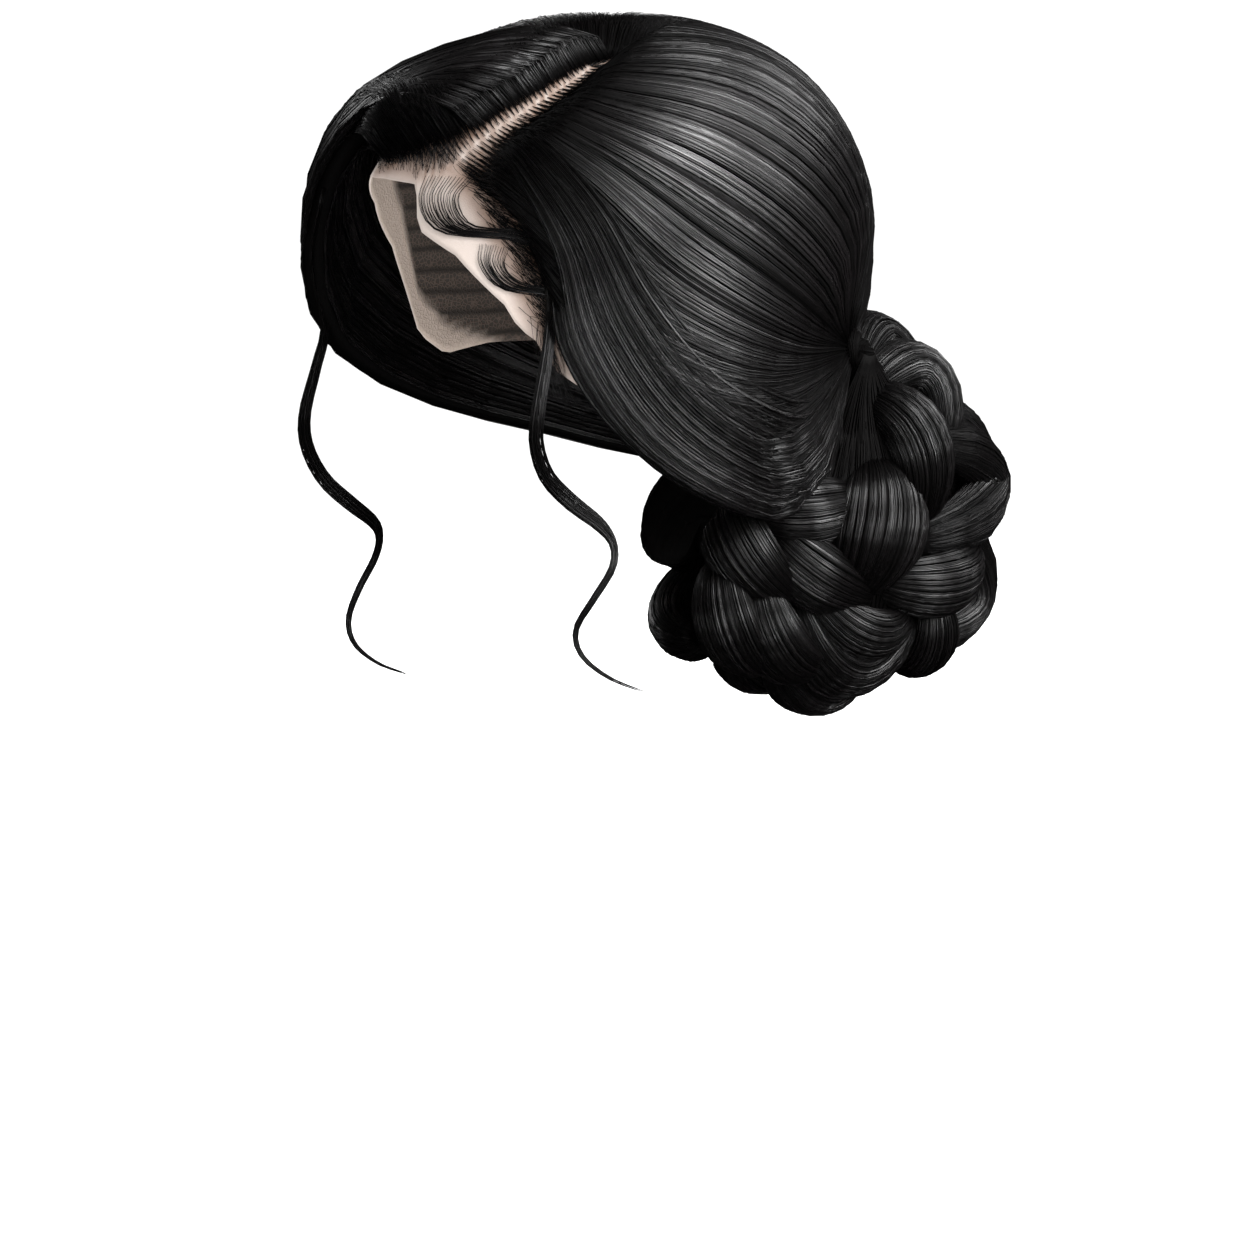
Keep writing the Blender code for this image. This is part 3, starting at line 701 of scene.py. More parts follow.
def lining_finish(settings):
    """The inside of the cap: lace along the front, and dark stretch net with rows of wefts behind."""
    finish = Finish("cap_lining")
    front = finish.attribute("front")
    threads = finish.threads(0.55 / settings.mesh_size, 0.04, 0.14)
    wefts = finish.bands(36.0, 0.6)
    lace = finish.mix(finish.noise(45.0), solid(settings.lining), solid(settings.lining, 0.8))
    lace = finish.mix(threads * 0.5, lace, solid(settings.shade))
    ground = finish.mix(threads, solid(settings.lining, 0.10), solid(settings.net))
    sewn = finish.mix(wefts ** 4.0, ground, solid(settings.lining, 0.06))
    height = threads * 0.4 + (1.0 - front) * wefts
    return finish.surface(Base_Color=finish.mix(front, sewn, lace), Roughness=0.88,
                          Specular_IOR_Level=0.2, Normal=finish.bump(height, 0.5, 0.0006))


def elastic_finish(settings):
    """Covered elastic with its spun ribs."""
    finish = Finish("elastic")
    ribs = finish.bands(420.0, 1.5)
    colour = finish.mix(ribs, solid(settings.band, 0.1), solid(settings.band, 0.4))
    return finish.surface(Base_Color=colour, Roughness=ribs * 0.2 + 0.6,
                          Normal=finish.bump(ribs, 0.4, 0.0003))


def only(obj):
    """Selects one object alone and makes it the active one."""
    bpy.ops.object.select_all(action="DESELECT")
    obj.select_set(True)
    bpy.context.view_layer.objects.active = obj


def close_up(obj):
    """Turns the faces of a closed piece outwards and shades it smooth."""
    only(obj)
    bpy.ops.object.mode_set(mode="EDIT")
    bpy.ops.mesh.select_all(action="SELECT")
    bpy.ops.mesh.normals_make_consistent(inside=False)
    bpy.ops.object.mode_set(mode="OBJECT")
    obj.data.shade_smooth()
    return obj


def co_of(mesh):
    co = np.empty(len(mesh.vertices) * 3)
    mesh.vertices.foreach_get("co", co)
    return co.reshape(-1, 3)


def set_co(mesh, co):
    mesh.vertices.foreach_set("co", np.ascontiguousarray(co, np.float32).ravel())
    mesh.update()


def write_attribute(mesh, name, values):
    made = mesh.attributes.get(name) or mesh.attributes.new(name, "FLOAT", "POINT")
    made.data.foreach_set("value", np.ascontiguousarray(values, np.float32).ravel())


def settle(obj, nodes=(), materials=()):
    """Finishes a piece: materials, body and the CAD nodes that it stands for."""
    for material in materials:
        obj.data.materials.append(material)
    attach(obj, "root")
    if nodes:
        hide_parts(*nodes)
    return obj


def tones(rng, cells):
    """A tone from 0 to 1 for each hair. Hairs of one cell share much of it, as in a fine lock."""
    shared = rng.random(int(cells.max()) + 1)[cells]
    return np.clip(0.62 * shared + 0.38 * rng.random(len(cells)), 0.0, 1.0)


def fibres(name, paths, half_widths, out, rng, cells=None, map_from=0.0, shine=1.0):
    """One mesh of many closed three-sided hairs.

    paths is hairs by points by 3, half_widths hairs by points, and out the direction away from
    the head at each point. Each hair gets its own tone and its own strip of the map, and shine is
    how far its points lie in the open light.
    """
    hairs, points = half_widths.shape
    run = unit_rows(np.gradient(paths, axis=1))
    side = unit_rows(np.cross(run, out))
    up = np.cross(side, run)
    corner = np.radians(90.0 + 120.0 * np.arange(3))
    shift = (side[:, :, None] * np.cos(corner)[:, None]
             + up[:, :, None] * np.sin(corner)[:, None])
    co = paths[:, :, None] + shift * half_widths[:, :, None, None]
    ring = np.arange(3)
    after = (ring + 1) % 3
    base = (np.arange(points - 1) * 3)[:, None]
    quads = np.stack([base + ring, base + after, base + 3 + after, base + 3 + ring], -1).reshape(-1, 4)
    last = (points - 1) * 3
    first_cap = np.array([2, 1, 0])
    last_cap = np.array([last, last + 1, last + 2])
    per_hair = np.concatenate([quads.ravel(), first_cap, last_cap])
    offset = (np.arange(hairs) * points * 3)[:, None]
    loops = (per_hair[None] + offset).ravel()
    sizes = np.concatenate([np.full(len(quads), 4), (3, 3)])
    starts = np.concatenate([[0], np.cumsum(np.tile(sizes, hairs))[:-1]])

    mesh = bpy.data.meshes.new(name)
    mesh.vertices.add(co.size // 3)
    mesh.vertices.foreach_set("co", co.astype(np.float32).ravel())
    mesh.loops.add(len(loops))
    mesh.loops.foreach_set("vertex_index", loops.astype(np.int32))
    mesh.polygons.add(len(starts))
    mesh.polygons.foreach_set("loop_start", starts.astype(np.int32))
    mesh.update(calc_edges=True)
    mesh.shade_smooth()
    cells = np.arange(hairs) if cells is None else cells
    write_attribute(mesh, "strand", np.repeat(tones(rng, cells), points * 3))
    write_attribute(mesh, "shine", np.repeat(np.broadcast_to(shine, half_widths.shape), 3))

    columns = max(1, int(math.sqrt(hairs / 2.0)))
    rows = math.ceil(hairs / columns)
    step = np.arange(points - 1)[:, None] / (points - 1)
    u = np.stack([step + 0 * ring, step + 0 * ring, step + 0 * ring + 1.0 / (points - 1),
                  step + 0 * ring + 1.0 / (points - 1)], -1)
    v = np.stack([ring + 0.0, ring + 1.0, ring + 1.0, ring + 0.0], -1) / 3.0
    v = np.broadcast_to(v, u.shape)
    u = np.concatenate([u.ravel(), (0.0, 0.0, 0.02), (0.98, 1.0, 1.0)])
    v = np.concatenate([v.ravel(), (0.9, 0.1, 0.1), (0.1, 0.1, 0.9)])
    cell = np.arange(hairs)
    u_all = ((cell % columns)[:, None] + 0.03 + 0.94 * u) / columns
    v_all = ((cell // columns)[:, None] + 0.08 + 0.84 * v) / rows
    uv = np.stack([map_from + (1.0 - map_from) * u_all, v_all], -1)
    layer = mesh.uv_layers.new(name="OFBake")
    layer.uv.foreach_set("vector", uv.astype(np.float32).ravel())
    made = bpy.data.objects.new(name, mesh)
    bpy.context.scene.collection.objects.link(made)
    return made


def sheet_body(name, panel, sink, columns, rows):
    """The dense hair of a panel: a grid thickened by an extrusion, then laid from face to face."""
    bpy.ops.object.select_all(action="DESELECT")
    bpy.ops.mesh.primitive_grid_add(x_subdivisions=columns, y_subdivisions=rows, size=2.0)
    made = bpy.context.object
    made.name = name
    bpy.ops.object.mode_set(mode="EDIT")
    bpy.ops.mesh.select_all(action="SELECT")
    bpy.ops.mesh.extrude_region_move(TRANSFORM_OT_translate={"value": (0.0, 0.0, 1.0)})
    bpy.ops.object.mode_set(mode="OBJECT")
    co = co_of(made.data)
    across = (co[:, 0] + 1.0) / 2.0
    level = (co[:, 1] + 1.0) / 2.0
    start = panel.root_zone(across) + 0.05
    down = start + (1.0 - start) * level
    outside = co[:, 2] > 0.5
    lifted = panel.outer(across, down, sink)
    below = panel.inner(across, down, 0.0004)
    set_co(made.data, np.where(outside[:, None], lifted, below))
    write_attribute(made.data, "across", across)
    return close_up(made)


def even_strides(panel, across, start, finish, points, ease):
    """How far down a panel each hair's points lie. Strides lengthen on the way with an ease over 1."""
    level = np.linspace(0.0, 1.0, 61)
    unit = panel.at(across[:, None], level)[0]
    steps = np.linalg.norm(np.diff(unit, axis=1), axis=2)
    gone = np.concatenate([np.zeros((len(across), 1)), np.cumsum(steps, axis=1)], 1)
    pace = np.linspace(0.0, 1.0, points) ** ease
    rows = []
    for run, places in zip(gone, np.stack([start, finish], -1)):
        first, last = np.interp(places, level, run)
        rows.append(np.interp(first + (last - first) * pace, run, level))
    return np.array(rows)


def comb(name, panel, hairs, points, half_width, rng, clumps, near=0.0, far=1.0, fade=0.03,
         depth=0.0012, lift=0.0, relief=1.0, root_shade_run=0.30, ease=1.35):
    """Combs hairs over a panel, from staggered roots to the band, in fine uneven clumps."""
    across = panel.even(near + (far - near) * (np.arange(hairs) + rng.random(hairs)) / hairs)
    clump_place = across * clumps
    clump = np.floor(clump_place).astype(int)
    inside = (clump_place - clump) * 2.0 - 1.0
    heights = rng.normal(0.0, CLUMP_RELIEF * relief, clumps + 2)
    level = rng.random(hairs) ** 1.4
    start = panel.root_zone(across) * (1.0 - 0.85 * rng.random(hairs) ** 2.5)
    start = np.clip(start + fade * (rng.random(hairs) - 0.3), 0.0, 1.0)
    finish = 1.0 - 0.01 * rng.random(hairs)
    down = even_strides(panel, across, start, finish, points, ease)
    wander = rng.normal(0.0, 0.0016, hairs)[:, None] * np.sin(
        np.pi * (rng.uniform(0.5, 1.6, hairs)[:, None] * down + rng.random(hairs)[:, None] * 2.0))
    gathered = (-inside * 0.16 / clumps)[:, None] * smooth((down - 0.04) / 0.2)
    path_across = np.clip(across[:, None] + wander * smooth(down / 0.1) + gathered, 0.0, 1.0)
    grow = (lift - level * depth - CLUMP_GROOVE * relief * inside ** 2 + heights[clump])[:, None]
    grow = grow * smooth(down / 0.12) + (lift - depth) * (1.0 - smooth(down / 0.12))
    top = panel.outer(path_across, down, grow)
    root = panel.inner(path_across, down, 0.0)
    unit = panel.at(path_across, down)[0]
    length = np.linalg.norm(np.diff(top, axis=1), axis=2).sum(1)
    gone = (down - start[:, None]) * length[:, None]
    paths = root + (top - root) * smooth(gone / RISE_RUN)[..., None]
    width = half_width * (0.35 + 0.65 * smooth(gone / WIDTH_RUN))
    width = width * (1.0 - 0.45 * smooth((down - 0.80) / 0.2))
    width = width * rng.uniform(0.75, 1.2, hairs)[:, None]
    # Painted shade: shine stays low for a run past the roots and falls again towards the band, so the
    # colour is darker and the coat weaker there.
    shine = smooth((down - panel.root_zone(across)[:, None] - root_shade_run / 6.0) / root_shade_run)
    shine = shine * (1.0 - 0.85 * smooth((down - 0.72) / 0.22))
    cells = np.floor(across * clumps * 3.0).astype(int)
    return fibres(name, paths, width, unit, rng, cells, 0.0, shine)


def rooted(name, panel, hairs, half_width, rng, far=1.0, reach=1.35):
    """Short strokes of hair from the parting line and the hairline in under a panel's strands."""
    line = line_on_head(PART_LINE)
    across = panel.even(far * (np.arange(hairs) + rng.random(hairs)) / hairs, 0.03)
    tuft = np.floor(across * TUFTS) + 0.5 + rng.normal(0.0, 0.10, hairs)
    tuft = np.clip(tuft / TUFTS, 0.0, 1.0)
    root = panel.at(tuft, np.zeros(hairs))[0]
    zone = panel.root_zone(across)
    closest = np.argmax(root @ line.T, 1)
    apart = np.arccos(np.clip(np.sum(root * line[closest], -1), -1.0, 1.0)) * MEAN_RADIUS
    by_part = smooth((0.013 - apart) / 0.004)
    gap = 0.0003 / np.maximum(apart, 0.0012)
    toward = by_part * (1.0 - gap - 0.3 * rng.random(hairs) ** 3)
    begin = unit_rows(root + (line[closest] - root) * toward[:, None])
    late = rng.random(hairs) ** 2.2 * 0.75
    finish = panel.at(across, np.minimum(zone * reach + 0.012 + 0.02 * rng.random(hairs), 1.0))[0]
    middle = panel.at(across, zone * rng.uniform(0.35, 0.6, hairs))[0]
    step = late[:, None] + (1.0 - late)[:, None] * np.linspace(0.0, 1.0, 9)
    step = step[..., None]
    unit = unit_rows(bend(begin, middle, finish, step))
    rise = 0.0003 + 0.0024 * smooth(step[..., 0]) ** 1.5 * rng.uniform(0.5, 1.0, hairs)[:, None]
    paths = HEAD_CENTRE + unit * (head_radius(unit) + CAP_THICKNESS + rise)[..., None]
    width = half_width * (0.5 + 0.5 * np.linspace(0.0, 1.0, 9) ** 0.7)
    width = width * rng.uniform(0.7, 1.2, hairs)[:, None]
    return fibres(name, paths, width, unit, rng)


def wisps(name, roots, tips, hairs, half_width, rng, sag):
    """Loose hairs from one line on the head to another, each with its own small bend."""
    along = (np.arange(hairs) + rng.random(hairs)) / hairs
    first = through(roots, along) + rng.normal(0.0, WISP_SCATTER, (hairs, 2))
    last = through(tips, along) + rng.normal(0.0, WISP_SCATTER, (hairs, 2))
    first = first + (last - first) * (rng.random(hairs)[:, None] ** 1.5 * 0.6)
    last = first + (last - first) * rng.uniform(0.5, 1.0, hairs)[:, None]
    middle = (first + last) / 2.0 + rng.normal(0.0, WISP_SCATTER, (hairs, 2))
    middle = middle + np.array((0.0, -sag))
    step = np.linspace(0.0, 1.0, 10)[:, None]
    unit = directions(bend(first, middle, last, step))
    least, most = WISP_RISE
    rise = least + (most - least) * rng.random(hairs)[:, None] * step[:, 0]
    paths = HEAD_CENTRE + unit * (head_radius(unit) + CAP_THICKNESS + rise)[..., None]
    width = half_width * rng.uniform(0.6, 1.2, hairs)[:, None] * (1.0 - 0.75 * step[:, 0])
    return fibres(name, paths, width, unit, rng)


def colour_setting(name, description, default):
    return bpy.props.FloatVectorProperty(name=name, description=description, default=default,
                                         subtype="COLOR", size=3, min=0.0, max=1.0)


def number_setting(name, description, default, least=0.0, most=1.0):
    return bpy.props.FloatProperty(name=name, description=description, default=default,
                                   min=least, max=most)


def length_setting(name, description, default, least, most):
    return bpy.props.FloatProperty(name=name, description=description, default=default,
                                   min=least, max=most, subtype="DISTANCE", unit="LENGTH")


def count_setting(name, description, default, least):
    return bpy.props.IntProperty(name=name, description=description, default=default, min=least)


HAIR_COLOUR = frame["record"]["materials"][0]["base_color"][:3]
BAND_COLOUR = frame["record"]["materials"][2]["base_color"][:3]


class HairSettings(bpy.types.PropertyGroup):
    colour: colour_setting("Colour", "Colour of the hair", HAIR_COLOUR)
    roughness: number_setting("Roughness", "Softness of the hair's shine", 0.27, 0.1, 0.9)
    gloss: number_setting("Gloss", "Strength of the hair's shine", 1.0)
    strand_width: length_setting("Strand width", "Width of one visible strand", 0.00056, 0.0002, 0.002)
    left_strands: count_setting("Left strands", "Strands in each half of the left panel", 1300, 50)
    right_strands: count_setting("Right strands", "Strands in each half of the right panel", 1050, 50)
    nape_strands: count_setting("Nape strands", "Strands in the nape panel", 900, 50)


class ChignonSettings(bpy.types.PropertyGroup):
    strands: count_setting("Strands", "Strands on the widest lock", 400, 20)
    fullness: length_setting("Fullness", "How far a lock stands past its solid", 0.0008, 0.0, 0.004)
    tie: length_setting("Band thickness", "Thickness of the elastic band", TIE_THICKNESS, 0.001, 0.006)


class LaceSettings(bpy.types.PropertyGroup):
    colour: colour_setting("Lace", "Colour of the lace", (0.40, 0.35, 0.32))
    shade: colour_setting("Net shade", "Colour between the threads", (0.31, 0.25, 0.21))
    knot_colour: colour_setting("Knots", "Colour where the hair is tied in", (0.13, 0.072, 0.046))
    lining: colour_setting("Lining", "Colour of the lace inside the cap", (0.40, 0.33, 0.28))
    net: colour_setting("Net", "Colour of the stretch net inside the cap", (0.075, 0.055, 0.045))
    band: colour_setting("Band", "Colour of the elastic", BAND_COLOUR)
    mesh_size: length_setting("Net size", "Width of one hole of the net", 0.0009, 0.0003, 0.004)


class StageSettings(bpy.types.PropertyGroup):
    floor: length_setting("Floor", "Height of the floor under the crown", -0.46, -2.0, 0.0)
    lens: number_setting("Lens", "Focal length in millimetres", 140.2, 20.0, 500.0)
    key: number_setting("Key light", "Power of the key light in watts", 68.0, 0.0, 1000.0)
    fill: number_setting("Fill light", "Power of the fill light in watts", 14.0, 0.0, 1000.0)


class WIG_OT_stage(bpy.types.Operator):
    """Adds the floor, the lights and the camera"""
    bl_idname = "wig.stage"
    bl_label = "Stage"

    def execute(self, context):
        settings = context.scene.wig_stage
        bpy.ops.object.select_all(action="DESELECT")
        bpy.ops.mesh.primitive_plane_add(size=12.0, location=(0.0, 0.0, settings.floor))
        floor = context.object
        floor.name = "floor"
        paper = Finish("paper")
        floor.data.materials.append(paper.surface(Base_Color=paper.mix(
            paper.noise(3.0), (0.93, 0.93, 0.93, 1.0), (0.95, 0.95, 0.95, 1.0)),
            Roughness=0.9, Specular_IOR_Level=0.1))
        floor.visible_glossy = False
        world = context.scene.world or bpy.data.worlds.new("studio")
        context.scene.world = world
        world.use_nodes = True
        world.node_tree.nodes["Background"].inputs["Color"].default_value = (1.0, 1.0, 1.0, 1.0)
        world.node_tree.nodes["Background"].inputs["Strength"].default_value = 1.12
        world.cycles_visibility.glossy = False
        aim = Vector(LAMP_AIM)
        lamps = (
            ("key", (1.32, 0.64, 1.24), 1.1, settings.key),
            ("side", (1.85, 0.98, 0.10), 0.8, settings.key * 0.5),
            ("low", (2.10, -0.62, -0.30), 0.8, settings.key * 0.15),
            ("top", (1.10, -0.70, 1.70), 0.8, settings.key * 0.08),
            ("back", (0.30, 1.70, 1.00), 0.9, settings.key * 0.25),
            ("far", (-1.60, -1.20, 0.90), 1.0, settings.fill),
            ("far_back", (-1.70, 0.80, 0.50), 1.0, settings.fill * 1.5),
        )
        for name, place, size, power in lamps:
            lamp = bpy.data.lights.new(name, "AREA")
            lamp.shape = "SQUARE"
            lamp.size = size
            lamp.energy = power
            made = bpy.data.objects.new(name, lamp)
            made.location = place
            made.rotation_mode = "QUATERNION"
            made.rotation_quaternion = (aim - made.location).to_track_quat("-Z", "Y")
            context.scene.collection.objects.link(made)
        camera = bpy.data.objects.new("camera", bpy.data.cameras.new("camera"))
        camera.data.lens = settings.lens
        camera.data.sensor_width = 36.0
        azimuth, elevation = math.radians(VIEW_TURN), math.radians(VIEW_RISE)
        back = Vector((math.sin(azimuth) * math.cos(elevation), -math.cos(azimuth) * math.cos(elevation),
                       math.sin(elevation)))
        camera.location = CAMERA_PLACE
        camera.rotation_mode = "QUATERNION"
        camera.rotation_quaternion = (-back).to_track_quat("-Z", "Y")
        context.scene.collection.objects.link(camera)
        context.scene.camera = camera
        context.scene.view_settings.view_transform = "Standard"
        return {"FINISHED"}


class WIG_OT_lace_cap(bpy.types.Operator):
    """Builds the lace cap: a fine shell over the head with the knots of the hair in it"""
    bl_idname = "wig.lace_cap"
    bl_label = "Lace cap"

    def execute(self, context):
        settings = context.scene.wig_lace
        bpy.ops.object.select_all(action="DESELECT")
        bpy.ops.mesh.primitive_uv_sphere_add(segments=144, ring_count=96, radius=1.0)
        cap = context.object
        cap.name = "lace_cap_net"
        bpy.ops.object.mode_set(mode="EDIT")
        bpy.ops.mesh.select_all(action="SELECT")
        bpy.ops.mesh.bisect(plane_co=(0.0, 0.0, 0.0), plane_no=(0.0, 0.0, 1.0), clear_inner=True)
        bpy.ops.object.mode_set(mode="OBJECT")
        turn, rise = turn_and_rise(unit_rows(co_of(cap.data)))
        under_fans = smooth((turn - 17.0) / 8.0) * smooth((58.0 - turn) / 8.0)
        edge = cap_edge(turn) - FRONT_LACE * under_fans
        new_rise = 90.0 - (90.0 - rise) / 90.0 * (90.0 - edge)
        unit = directions(np.stack([turn, new_rise], -1))
        set_co(cap.data, HEAD_CENTRE + unit * (head_radius(unit) + CAP_THICKNESS)[:, None])
        cap.data.materials.append(lace_finish(settings))
        cap.data.materials.append(lining_finish(settings))
        only(cap)
        wall = cap.modifiers.new("wall", "SOLIDIFY")
        wall.thickness = CAP_THICKNESS * 0.6
        wall.offset = -1.0
        wall.material_offset = 1
        bpy.ops.object.modifier_apply(modifier="wall")
        cap.data.shade_smooth()
        unit = unit_rows(co_of(cap.data) - HEAD_CENTRE)
        write_attribute(cap.data, "knots", self.knots(unit))
        turn, rise = turn_and_rise(unit)
        behind = np.maximum(rise - cap_edge(turn), 0.0) + np.maximum(np.abs(turn) - 62.0, 0.0) * 0.5
        write_attribute(cap.data, "front", 1.0 - smooth((behind - 8.0) / 3.5))
        settle(cap, ["lace_cap"])
        return {"FINISHED"}

    def knots(self, unit):
        """How densely the hair is tied in: dark past the roots of the panels, pale at the parting."""
        across = np.linspace(0.0, 1.0, 120)
        share = smooth((np.abs(turn_and_rise(unit)[0]) - 70.0) / 12.0)
        for strands, zone in ((LEFT_STRANDS, LEFT_ZONE), (RIGHT_STRANDS, RIGHT_ZONE)):
            panel = Combing(strands, zone)
            for level in (0.0, 0.35, 0.8, 1.3):
                line = panel.at(across, panel.root_zone(across) * level + 0.01)[0]
                share = np.maximum(share, smooth(1.0 - apart_from(unit, line) / 0.0085))
        for wisp, reach in zip(WISPS, (0.011, 0.008, 0.010)):
            apart = apart_from(unit, line_on_head(wisp[1]))
            share = np.maximum(share, 0.9 * smooth(1.0 - apart / reach))
        return share * smooth((apart_from(unit, line_on_head(PART_LINE)) - 0.0001) / 0.0011)


class WIG_OT_left_hair(bpy.types.Operator):
    """Combs the left panel from the parting and the hairline back to the band"""
    bl_idname = "wig.left_hair"
    bl_label = "Left hair"

    def execute(self, context):
        settings = context.scene.wig_hair
        hairs, half = settings.left_strands, settings.strand_width / 2.0
        panel = Combing(LEFT_STRANDS, LEFT_ZONE)
        # Painted shade: the dense hair under the strands takes the darkened depth colour.
        sheet = sheet_body("left_hair_depth", panel, -PANEL_SINK, 120, 90)
        settle(sheet, ["left_hair_panel"], [under_finish(settings)])
        gloss = [hair_finish(settings)]
        rng = np.random.default_rng(11)
        for name, near, far in (("left_hair_upper", 0.0, 0.5), ("left_hair_lower", 0.5, 1.0)):
            made = comb(name, panel, hairs, 20, half, rng, 130, near, far)
            settle(made, (), gloss)
        sweep = comb("left_hair_sweep", Combing(LEFT_SWEEP, (0.14, 0.10)), hairs * 3 // 5, 24, half,
                     rng, 60, fade=0.12, lift=0.0007)
        settle(sweep, (), gloss)
        inside = comb("left_hair_inside", Inside(LEFT_STRANDS, LEFT_ZONE), hairs // 3, 18,
                      settings.strand_width * 0.7, rng, 60, 0.5, 1.0, depth=0.0003, relief=0.3,
                      ease=1.0)
        settle(inside, (), gloss)
        roots = rooted("left_hair_roots", panel, 900, 0.00017, rng, far=0.72)
        settle(roots, (), gloss)
        return {"FINISHED"}


class WIG_OT_right_hair(bpy.types.Operator):
    """Combs the right panel over the forehead and round the far side to the band"""
    bl_idname = "wig.right_hair"
    bl_label = "Right hair"

    def execute(self, context):
        settings = context.scene.wig_hair
        hairs, half = settings.right_strands, settings.strand_width / 2.0
        panel = Combing(RIGHT_STRANDS, RIGHT_ZONE)
        # Painted shade: the dense hair under the strands takes the darkened depth colour.
        sheet = sheet_body("right_hair_depth", panel, -PANEL_SINK, 120, 90)
        settle(sheet, ["right_hair_panel"], [under_finish(settings)])
        gloss = [bpy.data.materials["glossy_hair"]]
        rng = np.random.default_rng(12)
        for name, near, far in (("right_hair_back", 0.0, 0.5), ("right_hair_swoop", 0.5, 1.0)):
            made = comb(name, panel, hairs, 20, half, rng, 120, near, far, relief=0.35, root_shade_run=0.12)
            settle(made, (), gloss)
        sweep = comb("right_hair_sweep", Overlay(RIGHT_SWEEP, (0.035, 0.04, 0.06), panel), hairs, 24,
                     half, rng, 70, fade=0.05, lift=0.0011, relief=0.6, root_shade_run=0.10)
        settle(sweep, (), gloss)
        inside = comb("right_hair_inside", Inside(RIGHT_STRANDS, RIGHT_ZONE), hairs * 3 // 5, 18,
                      settings.strand_width * 0.7, rng, 60, 0.3, 1.0, depth=0.0003, relief=0.3,
                      ease=1.0)
        settle(inside, (), gloss)
        roots = rooted("right_hair_roots", panel, 760, 0.00016, rng, reach=2.2)
        settle(roots, (), gloss)
        return {"FINISHED"}


class WIG_OT_nape_hair(bpy.types.Operator):
    """Combs the short hair up from the nape"""
    bl_idname = "wig.nape_hair"
    bl_label = "Nape hair"

    def execute(self, context):
        settings = context.scene.wig_hair
        panel = Nape()
        # Painted shade: the dense hair under the strands takes the darkened depth colour.
        sheet = sheet_body("nape_hair_depth", panel, -NAPE_SINK, 90, 24)
        settle(sheet, ["nape_hair_panel"], [under_finish(settings)])
        rng = np.random.default_rng(13)
        hairs = settings.nape_strands
        across = (np.arange(hairs) + rng.random(hairs)) / hairs
        start = 0.08 * rng.random(hairs)
        step = np.linspace(0.0, 1.0, 9)
        down = start[:, None] + (1.0 - start)[:, None] * step
        drift = across[:, None] + rng.normal(0.0, 0.004, hairs)[:, None] * step
        level = rng.random(hairs)[:, None]
        top = panel.outer(np.clip(drift, 0.0, 1.0), down, -0.0008 * level)
        root = panel.inner(np.clip(drift, 0.0, 1.0), down)
        risen = smooth(step / 0.25)[None, :, None]
        paths = root + (top - root) * risen
        width = settings.strand_width / 2.0 * np.ones_like(down) * (0.5 + 0.5 * smooth(step / 0.3))
        made = fibres("nape_hair_strands", paths, width, unit_rows(paths - HEAD_CENTRE), rng)
        settle(made, (), [bpy.data.materials["glossy_hair"]])
        return {"FINISHED"}


class WIG_OT_hair_tie(bpy.types.Operator):
    """Winds the elastic band where the hair is gathered"""
    bl_idname = "wig.hair_tie"
    bl_label = "Hair tie"

    def execute(self, context):
        chignon = context.scene.wig_chignon
        bpy.ops.object.select_all(action="DESELECT")
        bpy.ops.mesh.primitive_torus_add(major_radius=TIE_RADIUS, minor_radius=chignon.tie / 2.0,
                                         major_segments=72, minor_segments=20)
        band = context.object
        band.name = "hair_tie_elastic"
        turn = Vector(BAND_OUT).to_track_quat("Z", "Y").to_matrix()
        set_co(band.data, co_of(band.data) @ np.array(turn).T + BAND_CENTRE)
        band.data.shade_smooth()
        settle(band, ["hair_tie"], [elastic_finish(context.scene.wig_lace)])
        rng = np.random.default_rng(17)
        hairs = 260
        first = rng.random(hairs)[:, None] * 2.0 * np.pi
        turn = first + rng.uniform(2.0, 5.0, hairs)[:, None] * np.linspace(0.0, 1.0, 20)
        lean = np.radians(rng.uniform(-80.0, 150.0, hairs))[:, None] + 0.12 * (turn - first)
        radius = chignon.tie / 2.0 + 0.0004 + 0.0006 * rng.random(hairs)[:, None]
        up = unit_rows(np.array((0.0, 0.0, 1.0)) - BAND_OUT * BAND_OUT[2])
        ray = np.cos(turn)[..., None] * up + np.sin(turn)[..., None] * np.cross(BAND_OUT, up)
        aside, outward = radius * np.cos(lean), radius * np.sin(lean)
        paths = BAND_CENTRE + ray * (TIE_RADIUS + aside)[..., None] + BAND_OUT * outward[..., None]
        width = np.full(turn.shape, context.scene.wig_hair.strand_width / 2.0)
        wrap = fibres("hair_tie_wrap", paths, width, unit_rows(paths - BAND_CENTRE), rng)
        # Painted shade: the hair wound round the band takes the darkened depth colour.
        settle(wrap, (), [bpy.data.materials["hair_depth_shaded"]])
        return {"FINISHED"}


